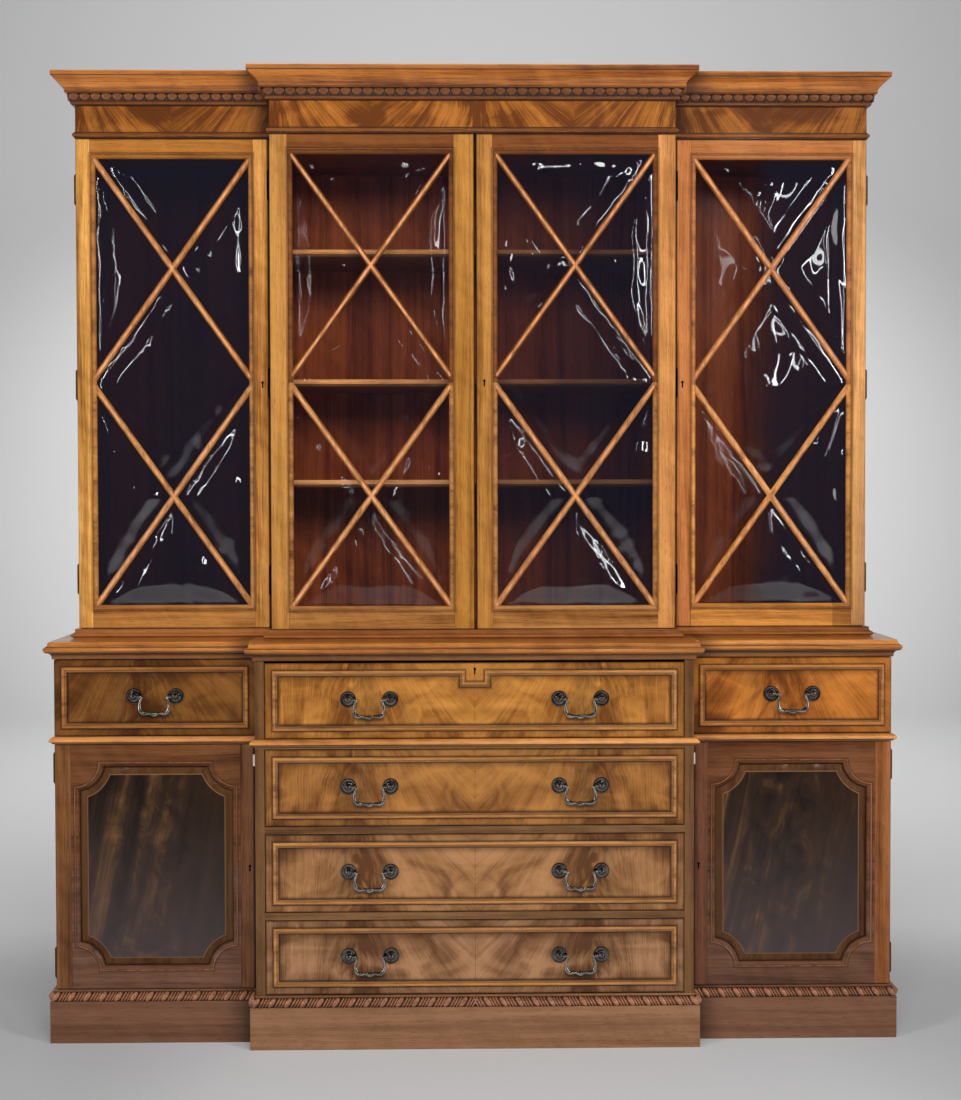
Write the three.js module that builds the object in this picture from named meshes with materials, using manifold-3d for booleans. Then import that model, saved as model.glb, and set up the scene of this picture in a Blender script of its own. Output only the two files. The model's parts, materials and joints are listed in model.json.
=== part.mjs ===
// Breakfront bookcase: four glazed doors over three bays, standing on a base of cupboards and drawers.
// Millimetres, +Z up, front faces -Y. The origin is the middle of the bounding box at floor level.
import * as THREE from 'three';
import * as BufferGeometryUtils from 'three/addons/utils/BufferGeometryUtils.js';
import Module from 'manifold-3d';

const wasm = await Module();
wasm.setup();

// Plan of the two cases
const lowerHalf = 904;            // outer face of the lower sides
const lowerCentreHalf = 467.5;    // outer face of the lower centre section
const lowerDepth = 390;           // door face to back, at the wings
const breakDepth = 60;            // how far the centre stands forward of the wings
const upperHalf = 872;
const upperCentreHalf = 441.5;
const upperSetback = 115;         // upper door faces behind the lower door faces

// Board thicknesses
const sideBoard = 20;
const backBoard = 10;
const shelfBoard = 16;
const railBoard = 16;
const ceilingBoard = 18;
const plinthBoard = 18;
const friezeBoard = 20;
const headRail = 12;              // behind the top edges of the doors
const doorThickness = 20;

// Heights of the lower case
const plinthHeight = 90;
const baseBoardHeight = 23.5;
const lowerDoorHeight = 530;
const waistMouldHeight = 16;
const waistBoardHeight = 21.5;
const waistToTop = 167;           // waist board to the underside of the top
const underMouldHeight = 16.5;
const topSlabHeight = 20.5;
const deskDrawerHeight = 160;
const deepDrawerHeight = 162.5;   // the drawer under the waist
const middleDrawerHeight = 165;

// Heights of the upper case
const upperBaseHeight = 20;
const glazedDoorHeight = 1075.5;
const ceilingBelowDoorTop = 33.5;
const astragalHeight = 14;
const friezeHeight = 57;
const bedMouldHeight = 8;
const eggHeight = 17;
const cymaHeight = 43;
const corniceOverCase = 9;        // the cornice stands this much over the boards behind it
const shelfHeights = [312, 534, 819.5];
const shelfSetback = 38;          // shelf edges behind the backs of the doors

// Projections beyond the face that carries each mould
const plinthProjection = 12;
const baseBoardProjection = 2;
const gadroonProjection = 14;
const waistProjection = 12;
const topProjection = 20;
const upperBaseProjection = 17;
const astragalProjection = 6;
const bedMouldProjection = 6;
const eggFootProjection = 8;
const eggProjection = 17;
const corniceProjection = 45;

// Small members of the moulds
const topUnderStep = 3;
const topFillet = 2.5;
const topStep = 8;
const topNose = 6;
const waistFillet = 3;
const baseMouldFillet = 2.5;
const baseMouldNose = 7;
const baseMouldTop = 8;           // projection of the top edge of the upper base mould
const corniceFillet = 10;
const corniceFoot = 2;
const astragalFillet = 2;
const reedDepth = 2;
const cymaWaveShare = 0.8;
const curveSteps = 4;
const cymaSteps = 6;
const corniceShares = [[0, 0], [0.06, 0.2], [0.2, 0.4], [0.45, 0.6], [0.72, 0.78], [0.92, 0.92], [1, 1]];

// Carving
const gadroonPitch = 33.4;
const gadroonRelief = 6;
const gadroonFoot = 5;
const gadroonLedge = 3.5;         // plain edge of the base board left over the gadroon
const gadroonSlantShare = 0.55;   // run along the mould for each unit of height
const gadroonBellyShare = 0.45;
const gadroonBeatShares = [[0, 0], [0.5, 1]];
const eggPitch = 24;
const eggRelief = 4.5;
const eggBeatShares = [[0, 0], [0.5, 1]];
const eggBellyShare = 0.55;

// Clearances
const doorBack = 0.5;             // between a closed door and the case
const doorGap = 1.5;              // over and under a door or drawer
const breakGap = 4;               // between a wing front and the side of the centre section
const drawerSide = 1.5;
const drawerRun = 0.5;            // a drawer box over its runner board
const glueLine = 0.2;
const fitGap = 0.3;
const overrun = 2;                // how far a cutting tool passes its work

// Glazed doors
const wingHingeStile = 31;
const wingLockStile = 38;
const centreHingeStile = 38;
const meetingStile = 36;
const glazedTopRail = 31.5;
const glazedBottomRail = 39.5;
const ovoloWidth = 11;
const ovoloDepth = 7.5;
const rebateFace = 9;             // depth of the face that the glass lies on
const rebateLap = 8;              // how far the glass runs under the moulding
const glassThickness = 3;
const glassBulge = 7.5;
const glassDomeShares = [[0.55, 0.78]];
const barWidth = 13;
const barProud = 6.5;
const barSectionShares = [[-1, 0], [-1, 0.45], [-0.55, 0.92], [0.55, 0.92], [1, 0.45], [1, 0]];
const barEmbed = 4;               // bars stop this far inside the edge of the stiles
const barQuirk = 1;               // flat glass left beside a bar
const meetingBead = 9;
const meetingBeadProud = 3;
const meetingGap = 3;

// Panelled doors
const panelStile = 41.5;
const panelRail = 39;
const cornerRadius = 53;
const cornerSteps = 4;
const frameMouldWidth = 10;
const frameMouldDepth = 8;
const panelSeat = 12;             // depth of the face that the panel lies on
const panelLap = 8;
const panelTongue = 5;
const panelRise = 6;
const fieldInset = 27;

// Drawers
const drawerFront = 20;
const drawerSideBoard = 12;
const drawerBottom = 8;
const drawerHeadroom = 15;
const drawerBackSpace = 12;
const bandInset = 16;             // applied frame on the drawer fronts
const bandWidth = 11;
const bandProud = 5;
const bandStepShare = 0.45;
const notchHalf = 21;
const notchDepth = 24;
const deskFall = 18;
const stayRadius = 112;
const stayWidth = 12;
const stayThickness = 3;
const stayDegrees = [12, 82];
const staySteps = 5;

// Handles, hinges and keyholes
const postSpacing = 90;
const postAboveMiddle = 3.5;
const centreHandleOffset = 224.5;
const rosetteRadius = 16.5;
const rosetteThickness = 2.5;
const neckRadius = 4.5;
const knobRadius = 7;
const knobStandoff = 12;
const bailDrop = 38;
const bailRadius = 3.4;
const collarRadius = 5.2;
const bailSides = 6;
const turningSides = 8;
const knuckleSides = 6;
const knuckleRadius = 3.5;
const knuckleLength = 62;
const leafThickness = 2;
const keyholeRadius = 3.1;
const keyholeSlot = 3.2;
const keyholeDrop = 12;
const keyholeDepth = 7;
const panelKeyShare = 0.35;       // across the lock stile of a cupboard door
const deskKeyholeDrop = 13;       // under the top edge of the desk fall
const knuckleShares = [0.1, 0.5, 0.9];
const bailShares = [[0, -1], [0.2, -0.94], [0.44, -1], [0.62, -0.86], [0.63, -0.5], [0.58, -0.1]];

// Levels worked out from the heights
const baseBoardTop = plinthHeight + baseBoardHeight;
const lowerDoorBottom = baseBoardTop + doorGap;
const waistMouldBottom = lowerDoorBottom + lowerDoorHeight + doorGap;
const waistTop = waistMouldBottom + waistMouldHeight;
const waistBoardBottom = waistTop - waistBoardHeight;
const topBottom = waistTop + waistToTop;
const slabBottom = topBottom + underMouldHeight;
const topTop = slabBottom + topSlabHeight;
const upperFloor = topTop + upperBaseHeight;
const glazedBottom = upperFloor + doorGap;
const glazedTop = glazedBottom + glazedDoorHeight;
const ceilingBottom = glazedTop - ceilingBelowDoorTop;
const ceilingTop = ceilingBottom + ceilingBoard;
const astragalBottom = glazedTop + doorGap;
const friezeBottom = astragalBottom + astragalHeight;
const bedMouldBottom = friezeBottom + friezeHeight;
const eggBottom = bedMouldBottom + bedMouldHeight;
const cymaBottom = eggBottom + eggHeight;
const topOfAll = cymaBottom + cymaHeight;
const upperBoardTop = topOfAll - corniceOverCase;

// Planes, measured from the wing door faces of the lower case at y = 0
const backPlane = lowerDepth;
const backFace = backPlane - backBoard;
const upperWing = upperSetback;
const upperCentre = upperSetback - breakDepth;
const behindDoor = doorThickness + doorBack;
const originShift = -(backPlane - breakDepth - topProjection) / 2;

// Finishes
const finish = (color, roughness, metalness = 0) => new THREE.MeshStandardMaterial({ color, roughness, metalness });
const mahogany = finish(0x8a4f28, 0.35);
const redMahogany = finish(0x7a3f22, 0.35);
const flameVeneer = finish(0xa8672f, 0.3);
const darkPanel = finish(0x3c1d14, 0.2);
const innerMahogany = finish(0x57291a, 0.5);
const drawerLining = finish(0x9a7448, 0.6);
const antiqueBrass = finish(0x4d4840, 0.4, 0.9);
const bubbleGlass = finish(0xdfe6e4, 0.05);
bubbleGlass.transparent = true;
bubbleGlass.opacity = 0.25;

const cabinet = new THREE.Group();
cabinet.position.y = originShift;

function add(name, geometry, material) {
  const mesh = new THREE.Mesh(geometry, material);
  mesh.name = name;
  cabinet.add(mesh);
}

// Mesh tools

function weld(geometry) {
  const bare = geometry.index ? geometry.toNonIndexed() : geometry.clone();
  for (const key of Object.keys(bare.attributes)) {
    if (key !== 'position') bare.deleteAttribute(key);
  }
  return BufferGeometryUtils.mergeVertices(bare);
}

function toSolid(geometry) {
  const welded = weld(geometry);
  return new wasm.Manifold(new wasm.Mesh({
    numProp: 3,
    vertProperties: new Float32Array(welded.attributes.position.array),
    triVerts: new Uint32Array(welded.index.array),
  }));
}

function toGeometry(solid) {
  const mesh = solid.getMesh();
  const geometry = new THREE.BufferGeometry();
  geometry.setAttribute('position', new THREE.BufferAttribute(new Float32Array(mesh.vertProperties), 3));
  geometry.setIndex(new THREE.BufferAttribute(new Uint32Array(mesh.triVerts), 1));
  return geometry;
}

const join = (pieces) => toGeometry(pieces.map(toSolid).reduce((whole, piece) => whole.add(piece)));
const cut = (piece, tools) => toGeometry(tools.map(toSolid).reduce((rest, tool) => rest.subtract(tool), toSolid(piece)));
const common = (piece, other) => toGeometry(toSolid(piece).intersect(toSolid(other)));

// A box between two corners, whichever way round the x values come
function block(x0, x1, y0, y1, z0, z1) {
  const box = new THREE.BoxGeometry(Math.abs(x1 - x0), y1 - y0, z1 - z0);
  return box.translate((x0 + x1) / 2, (y0 + y1) / 2, (z0 + z1) / 2);
}

// Triangles of flat points, which go round the way the points do
function fill(points) {
  const triangles = THREE.ShapeUtils.triangulateShape(points, []);
  const covered = triangles.reduce((sum, face) => sum + THREE.ShapeUtils.area(face.map((v) => points[v])), 0);
  return covered * THREE.ShapeUtils.area(points) < 0 ? triangles.map(([a, b, c]) => [a, c, b]) : triangles;
}

// A closed geometry from points and triangles, turned so that its faces point out
function closedGeometry(points, triangles) {
  const volume = triangles.reduce((sum, [a, b, c]) => (
    sum + points[a].dot(points[b].clone().cross(points[c]))
  ), 0);
  const facing = volume < 0 ? triangles.map(([a, b, c]) => [a, c, b]) : triangles;
  const geometry = new THREE.BufferGeometry().setFromPoints(points);
  geometry.setIndex(facing.flat());
  return weld(geometry);
}

// The two axes in which a flat loop is widest
function flatten(loop) {
  const normal = new THREE.Vector3();
  loop.forEach((a, i) => {
    const b = loop[(i + 1) % loop.length];
    normal.add(a.clone().cross(b));
  });
  const [x, y, z] = normal.toArray().map(Math.abs);
  if (x >= y && x >= z) return loop.map((p) => new THREE.Vector2(p.y, p.z));
  if (y >= z) return loop.map((p) => new THREE.Vector2(p.x, p.z));
  return loop.map((p) => new THREE.Vector2(p.x, p.y));
}

// A skin over loops of equal length, capped at both ends, closed on itself, or drawn to an apex at the far end
function skin(loops, closed = false, apex = null) {
  const count = loops[0].length;
  const points = loops.flat();
  const triangles = [];
  const spans = closed ? loops.length : loops.length - 1;
  for (let i = 0; i < spans; i++) {
    const here = i * count;
    const next = ((i + 1) % loops.length) * count;
    for (let j = 0; j < count; j++) {
      const k = (j + 1) % count;
      triangles.push([here + j, here + k, next + k], [here + j, next + k, next + j]);
    }
  }
  if (!closed) {
    const end = (loops.length - 1) * count;
    for (const [a, b, c] of fill(flatten(loops[0]))) triangles.push([a, c, b]);
    if (apex) {
      points.push(apex);
      loops.at(-1).forEach((_, j) => triangles.push([end + j, end + (j + 1) % count, loops.length * count]));
    } else {
      for (const [a, b, c] of fill(flatten(loops.at(-1)))) triangles.push([end + a, end + b, end + c]);
    }
  }
  return closedGeometry(points, triangles);
}

// Plan lines of the two cases, moved outwards by d: across the front, or round the sides to the back

function planOf(half, centreHalf, wingY, centreY) {
  const mirrored = (points) => [...points.map(([x, y]) => [-x, y]), ...points.slice().reverse()];
  const inner = (d) => [[centreHalf + d, wingY - d], [centreHalf + d, centreY - d]];
  return {
    front: (end) => (d) => mirrored([[end, wingY - d], ...inner(d)]),
    around: (d, back = backPlane) => mirrored([[half + d, back], [half + d, wingY - d], ...inner(d)]),
  };
}

const lowerPlan = planOf(lowerHalf, lowerCentreHalf, 0, -breakDepth);
const upperPlan = planOf(upperHalf, upperCentreHalf, upperWing, upperCentre);

// A length of closed [d, z] profile, mitred along a plan line
function mouldingRun(line, profile) {
  const lines = profile.map(([d]) => line(d));
  return skin(lines[0].map((_, i) => profile.map(([, z], j) => new THREE.Vector3(...lines[j][i], z))));
}

// A board whose edge follows [d, z] points, lowest first
function edgedBoard(outline, edge) {
  return skin(edge.map(([d, z]) => outline(d).map(([x, y]) => new THREE.Vector3(x, y, z))));
}

// A quarter round from [0, 0] to [width, height], level at its start
function ovolo(width, height) {
  return Array.from({ length: curveSteps + 1 }, (_, i) => {
    const angle = (i / curveSteps) * Math.PI / 2;
    return [width * Math.sin(angle), height * (1 - Math.cos(angle))];
  });
}

// A hollow from [0, 0] to [width, height], upright at its start
function cavetto(width, height) {
  return Array.from({ length: curveSteps + 1 }, (_, i) => {
    const angle = (i / curveSteps) * Math.PI / 2;
    return [width * (1 - Math.cos(angle)), height * Math.sin(angle)];
  });
}

// A double curve from [0, 0] to [width, height]: round below and hollow above
function cyma(width, height) {
  return Array.from({ length: cymaSteps + 1 }, (_, i) => {
    const share = i / cymaSteps;
    const wave = Math.sin(2 * Math.PI * share) / (2 * Math.PI);
    return [width * (share + wave * cymaWaveShare), height * share];
  });
}

const moved = (points, d, z) => points.map(([a, b]) => [a + d, b + z]);

// Carving along a plan line. Each straight length is set out in whole pitches, and every beat in a pitch is
// a section from profileAt(swell), whose [d, z, leans] points lean outwards from the middle of the front.
function carvedRun(line, pitch, beats, slant, middleZ, profileAt) {
  const base = line(0);
  const loops = [];
  for (let i = 0; i + 1 < base.length; i++) {
    const start = new THREE.Vector2(...base[i]);
    const step = new THREE.Vector2(...base[i + 1]).sub(start);
    const length = step.length();
    const along = step.divideScalar(length);
    const repeats = Math.max(1, Math.round(length / pitch));
    const hand = i + 1 < base.length / 2 ? -1 : i + 1 > base.length / 2 ? 1 : 0;
    const stops = [];
    for (let n = 0; n < repeats; n++) {
      for (const [at, swell] of beats) stops.push([(n + at) / repeats, swell]);
    }
    if (i + 2 === base.length) stops.push([1, beats[0][1]]);
    for (const [share, swell] of stops) {
      const side = hand || (share < 1 / 2 ? -1 : 1);
      loops.push(profileAt(swell).map(([d, z, leans]) => {
        const point = new THREE.Vector2(...line(d)[i]).lerp(new THREE.Vector2(...line(d)[i + 1]), share);
        const room = Math.min(share, 1 - share, Math.abs(share - 1 / 2) + hand ** 2) * length;
        const lean = leans ? THREE.MathUtils.clamp(-side * slant * (z - middleZ), -room, room) : 0;
        point.addScaledVector(along, lean);
        return new THREE.Vector3(point.x, point.y, z);
      }));
    }
  }
  return skin(loops);
}

// Face outlines in x and z round their middle, moved inwards by d

const rectangle = (halfWidth, halfHeight) => (d) => {
  const x = halfWidth - d;
  const z = halfHeight - d;
  return [[-x, -z], [x, -z], [x, z], [-x, z]];
};

// A rectangle whose corners are bitten by a quarter circle
const bittenRectangle = (halfWidth, halfHeight, radius) => (d) => {
  const round = radius + d;
  const start = Math.asin(d / round);
  const corner = Array.from({ length: cornerSteps + 1 }, (_, i) => {
    const angle = start + (i / cornerSteps) * (Math.PI / 2 - 2 * start);
    return [halfWidth - round * Math.sin(angle), halfHeight - round * Math.cos(angle)];
  });
  const back = corner.slice().reverse();
  return [
    ...corner,
    ...back.map(([x, z]) => [-x, z]),
    ...corner.map(([x, z]) => [-x, -z]),
    ...back.map(([x, z]) => [x, -z]),
  ];
};

// A rectangle that steps down round a keyhole in the middle of its top edge
const notchedRectangle = (halfWidth, halfHeight) => (d) => {
  const x = halfWidth - d;
  const z = halfHeight - d;
  const notch = notchHalf + d;
  const foot = halfHeight - notchDepth - d;
  return [[-x, -z], [x, -z], [x, z], [notch, z], [notch, foot], [-notch, foot], [-notch, z], [-x, z]];
};

// A solid through [d, y] stations of a face outline
function faceLoft(outline, stations, cx, cz, faceY) {
  return skin(stations.map(([d, y]) => outline(d).map(([x, z]) => new THREE.Vector3(cx + x, faceY + y, cz + z))));
}

// A raised frame of closed [d, y] profile along a face outline
function faceRing(outline, profile, cx, cz, faceY) {
  const lines = profile.map(([d]) => outline(d));
  return skin(lines[0].map((_, i) => profile.map(([, y], j) => (
    new THREE.Vector3(cx + lines[j][i][0], faceY + y, cz + lines[j][i][1])
  ))), true);
}

// A keyhole as a cutting tool: a round with a slot under it
function keyhole(x, faceY, z) {
  const round = new THREE.CylinderGeometry(keyholeRadius, keyholeRadius, keyholeDepth + overrun, turningSides);
  round.translate(x, faceY - overrun + (keyholeDepth + overrun) / 2, z);
  const slot = block(x - keyholeSlot / 2, x + keyholeSlot / 2, faceY - overrun, faceY + keyholeDepth, z - keyholeDrop, z);
  return [round, slot];
}

// Lower carcass

for (const [name, side] of [['left', -1], ['right', 1]]) {
  add(`lower_side_${name}`, block(
    side * (lowerHalf - sideBoard), side * lowerHalf, behindDoor, backPlane, baseBoardTop, topBottom,
  ), mahogany);
}

// The partitions and the waist board are halved over each other
const partitionInner = lowerCentreHalf - sideBoard;
const halvingY = (backFace - breakDepth) / 2;
for (const [name, side] of [['left', -1], ['right', 1]]) {
  add(`lower_partition_${name}`, cut(
    block(side * partitionInner, side * lowerCentreHalf, -breakDepth, backFace, baseBoardTop, topBottom),
    [block(side * (partitionInner - overrun), side * (lowerCentreHalf + overrun), -breakDepth - overrun, halvingY,
      waistBoardBottom - fitGap, waistTop + fitGap)],
  ), mahogany);
}

const lowerInside = lowerHalf - sideBoard;
const waistPlan = planOf(lowerInside, lowerCentreHalf, behindDoor, -breakDepth);
add('waist_board', cut(
  join([
    edgedBoard((d) => waistPlan.around(d, backFace), [[0, waistBoardBottom], [0, waistTop]]),
    block(-lowerHalf, lowerHalf, 0, doorThickness, waistMouldBottom, waistTop),
    block(-lowerInside, lowerInside, doorThickness / 2, doorThickness + overrun, waistMouldBottom, waistTop),
  ]),
  [-1, 1].map((side) => block(side * (partitionInner - fitGap), side * (lowerCentreHalf + fitGap), halvingY - fitGap,
    backPlane, waistBoardBottom - overrun, waistTop + overrun)),
), innerMahogany);

const lowestDrawerBottom = baseBoardTop + 2 * doorGap;
const deepDrawerTop = waistBoardBottom - doorGap;
const deepDrawerBottom = deepDrawerTop - deepDrawerHeight;
const upperRailTop = deepDrawerBottom - doorGap;
const middleDrawerTop = upperRailTop - railBoard - doorGap;
const middleDrawerBottom = middleDrawerTop - middleDrawerHeight;
const lowerRailTop = middleDrawerBottom - doorGap;
const lowestDrawerTop = lowerRailTop - railBoard - doorGap;

for (const [name, top] of [['drawer_rail_upper', upperRailTop], ['drawer_rail_lower', lowerRailTop]]) {
  add(name, block(-partitionInner, partitionInner, -breakDepth, backFace, top - railBoard, top), mahogany);
}

add('base_board', edgedBoard(lowerPlan.around, [
  [baseBoardProjection, plinthHeight],
  [baseBoardProjection, baseBoardTop],
]), mahogany);

add('lower_back', block(-lowerInside, lowerInside, backFace, backPlane, baseBoardTop, topBottom), innerMahogany);

// The plinth is a mitred frame under the base board
const plinthInner = plinthProjection - plinthBoard;
const plinthCorners = [
  [plinthProjection, backPlane, 0],
  [plinthProjection, backPlane, plinthHeight],
  [plinthInner, backPlane - plinthBoard, plinthHeight],
  [plinthInner, backPlane - plinthBoard, 0],
];
add('plinth', skin(
  plinthCorners.map(([d, back, z]) => lowerPlan.around(d, back).map(([x, y]) => new THREE.Vector3(x, y, z))),
  true,
), mahogany);

// Gadroon: slanting lobes that turn outwards from the middle of the front
const gadroonHeight = baseBoardHeight - gadroonLedge;
const gadroonTop = plinthHeight + gadroonHeight;
add('gadroon_mould', carvedRun(
  lowerPlan.around, gadroonPitch, gadroonBeatShares, gadroonSlantShare, plinthHeight + gadroonHeight / 2,
  (swell) => {
    const belly = gadroonProjection - gadroonRelief * (1 - swell);
    return [
      [baseBoardProjection + glueLine, plinthHeight, false],
      [belly - gadroonFoot / 2, plinthHeight, true],
      [belly, plinthHeight + gadroonHeight * gadroonBellyShare, true],
      [baseBoardProjection + gadroonFoot / 2, gadroonTop, true],
      [baseBoardProjection + glueLine, gadroonTop, false],
    ];
  },
), redMahogany);

// Waist mould: fillet, nose and bevel, mitred round the front and the sides
const noseBottom = waistMouldBottom + waistMouldHeight / 2 - waistFillet / 2;
add('waist_mould', mouldingRun(lowerPlan.around, [
  [glueLine, waistMouldBottom],
  [waistFillet, waistMouldBottom],
  [2 * waistFillet, waistMouldBottom + waistFillet],
  [waistProjection, noseBottom],
  [waistProjection, noseBottom + waistFillet],
  [waistProjection - waistFillet, waistTop - waistFillet],
  [waistFillet, waistTop],
  [glueLine, waistTop],
]), mahogany);

// Top of the lower case: a hollow and a fillet under a slab with a thumb moulded edge
const hollowWidth = topProjection - topStep - topUnderStep;
add('lower_top', edgedBoard(lowerPlan.around, [
  [0, topBottom],
  ...moved(cavetto(hollowWidth, underMouldHeight - topFillet), topUnderStep, topBottom),
  [topProjection - topUnderStep, slabBottom - topFillet],
  [topProjection - topUnderStep, slabBottom],
  [topProjection - topFillet, slabBottom],
  [topProjection, slabBottom + topNose],
  ...moved(cavetto(-topStep, topSlabHeight - topNose - topFillet), topProjection, slabBottom + topNose).slice(1),
  [topProjection - topStep, topTop],
]), mahogany);

// Upper carcass

for (const [name, side] of [['left', -1], ['right', 1]]) {
  add(`upper_side_${name}`, block(
    side * (upperHalf - sideBoard), side * upperHalf, upperWing + behindDoor, backPlane, upperFloor, upperBoardTop,
  ), mahogany);
  add(`upper_partition_${name}`, block(
    side * (upperCentreHalf - sideBoard), side * upperCentreHalf, upperCentre + behindDoor, backFace,
    upperFloor, ceilingBottom,
  ), innerMahogany);
}

// Base of the upper case: an ogee edge over a nose
add('upper_base', edgedBoard(upperPlan.around, [
  [upperBaseProjection - 2 * baseMouldFillet, topTop],
  [upperBaseProjection - 2 * baseMouldFillet, topTop + baseMouldFillet],
  [upperBaseProjection, topTop + 2 * baseMouldFillet],
  [upperBaseProjection, topTop + baseMouldNose],
  ...moved(cyma(baseMouldTop - upperBaseProjection, upperBaseHeight - baseMouldNose - baseMouldFillet),
    upperBaseProjection, topTop + baseMouldNose).slice(1),
  [baseMouldTop, upperFloor],
]), redMahogany);

const upperInside = upperHalf - sideBoard;
const ceilingPlan = planOf(upperInside, upperCentreHalf, upperWing + behindDoor, upperCentre + behindDoor);
add('upper_top_board', edgedBoard((d) => ceilingPlan.around(d, backFace), [
  [0, ceilingBottom],
  [0, ceilingTop],
]), innerMahogany);

add('upper_back', block(-upperInside, upperInside, backFace, backPlane, upperFloor, upperBoardTop), innerMahogany);

// Shelves of the centre bay, with two reeds along the front edge
const bayHalf = upperCentreHalf - sideBoard - fitGap;
const shelfFront = upperCentre + behindDoor + shelfSetback;
const reedProfile = (bottom) => {
  const half = shelfBoard / 2;
  const reed = (foot) => [
    [shelfFront, foot],
    [shelfFront - reedDepth, foot + half / 4],
    [shelfFront - reedDepth, foot + half * 3 / 4],
  ];
  return [[backFace, bottom], ...reed(bottom), ...reed(bottom + half), [shelfFront, bottom + shelfBoard],
    [backFace, bottom + shelfBoard]];
};
['shelf_bottom', 'shelf_middle', 'shelf_top'].forEach((name, i) => {
  const profile = reedProfile(upperFloor + shelfHeights[i]);
  add(name, skin([-bayHalf, bayHalf].map((x) => profile.map(([y, z]) => new THREE.Vector3(x, y, z)))), innerMahogany);
});

// Frieze board with the head rail behind the door tops and the half round mould under the veneer
const headRailTop = upperBoardTop - friezeHeight;
const bar = (near, far, bottom, top) => [[near, bottom], [near, top], [far, top], [far, bottom]];
const astragalMiddle = astragalBottom + astragalHeight / 2;
const astragalRound = Array.from({ length: curveSteps + 1 }, (_, i) => {
  const angle = Math.PI * (i / curveSteps);
  return [
    waistFillet / 2 + (astragalProjection - waistFillet / 2) * Math.sin(angle),
    astragalMiddle - (astragalHeight / 2 - astragalFillet) * Math.cos(angle),
  ];
});
add('frieze', join([
  mouldingRun(upperPlan.front(upperHalf), bar(0, -friezeBoard, astragalBottom, upperBoardTop)),
  mouldingRun(upperPlan.front(upperInside - fitGap),
    bar(-friezeBoard / 2, -behindDoor - headRail, headRailTop - railBoard, headRailTop)),
  mouldingRun(upperPlan.front(upperInside - fitGap),
    bar(-behindDoor, -behindDoor - headRail, ceilingTop, headRailTop)),
  mouldingRun(upperPlan.front(upperHalf), bar(waistFillet / 2, -friezeBoard / 2, astragalBottom, friezeBottom)),
  mouldingRun(upperPlan.around, [
    [glueLine, astragalBottom],
    [waistFillet / 2, astragalBottom],
    ...astragalRound,
    [waistFillet / 2, friezeBottom],
    [glueLine, friezeBottom],
  ]),
]), flameVeneer);

// Egg and dart over a small bed mould. The band leans outwards as it rises.
const eggMiddle = eggBottom + eggHeight * eggBellyShare;
const eggGround = eggFootProjection + (eggProjection - eggFootProjection) * eggBellyShare - eggRelief / 2;
add('egg_and_dart_mould', carvedRun(upperPlan.around, eggPitch, eggBeatShares, 0, eggMiddle, (swell) => [
  [glueLine, bedMouldBottom, false],
  [bedMouldProjection, bedMouldBottom, false],
  [eggFootProjection, eggBottom, false],
  [eggGround + eggRelief * swell, eggMiddle, false],
  [eggProjection, cymaBottom, false],
  [glueLine, cymaBottom, false],
]), redMahogany);

// Cornice: a small foot, a long cyma that is hollow below and round above, and an upright fillet
const corniceStart = eggProjection + corniceFoot;
const corniceWidth = corniceProjection - corniceStart;
const corniceCurve = cymaHeight - corniceFoot - corniceFillet;
add('cornice', mouldingRun(upperPlan.around, [
  [glueLine, cymaBottom],
  [corniceStart, cymaBottom],
  ...corniceShares.map(([out, up]) => [corniceStart + corniceWidth * out, cymaBottom + corniceFoot + corniceCurve * up]),
  [corniceProjection, topOfAll],
  [glueLine, topOfAll],
]), redMahogany);

// Glazed doors

// A half round bar between two points of a door face
function latticeBar([x0, z0], [x1, z1], cx, cz, faceY) {
  const direction = new THREE.Vector2(x1 - x0, z1 - z0).normalize();
  const loop = (x, z) => barSectionShares.map(([across, rise]) => new THREE.Vector3(
    cx + x - direction.y * across * barWidth / 2,
    faceY + rebateFace - barProud * rise,
    cz + z + direction.x * across * barWidth / 2,
  ));
  return skin([loop(x0, z0), loop(x1, z1)]);
}

// The seven panes of a door, each a list of corners with the inset of the side that starts there
function paneOutlines(halfWidth, halfHeight) {
  const onBar = barWidth / 2 + barQuirk;
  const onFrame = ovoloWidth + barQuirk;
  const [w, h] = [halfWidth, halfHeight];
  const half = h / 2;
  const upper = [
    [[-w, h, onBar], [0, half, onBar], [w, h, onFrame]],
    [[-w, h, onFrame], [-w, 0, onBar], [0, half, onBar]],
    [[w, h, onBar], [0, half, onBar], [w, 0, onFrame]],
  ];
  const turned = upper.map((pane) => pane.map(([x, z, inset]) => [-x, -z, inset]));
  return [...upper, ...turned, [[-w, 0, onBar], [0, -half, onBar], [w, 0, onBar], [0, half, onBar]]];
}

// Moves every side of a convex outline inwards by its own inset
function insetCorners(corners) {
  const count = corners.length;
  const middle = [0, 1].map((k) => corners.reduce((sum, corner) => sum + corner[k], 0) / count);
  const sides = corners.map(([x, z, inset], i) => {
    const [nextX, nextZ] = corners[(i + 1) % count];
    const normal = new THREE.Vector2(nextZ - z, x - nextX).normalize();
    const away = normal.x * (middle[0] - x) + normal.y * (middle[1] - z);
    if (away < 0) normal.negate();
    return { normal, offset: normal.x * x + normal.y * z + inset };
  });
  return sides.map((side, i) => {
    const before = sides[(i + count - 1) % count];
    const det = before.normal.x * side.normal.y - before.normal.y * side.normal.x;
    return new THREE.Vector2(
      (before.offset * side.normal.y - side.offset * before.normal.y) / det,
      (before.normal.x * side.offset - side.normal.x * before.offset) / det,
    );
  });
}

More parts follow.
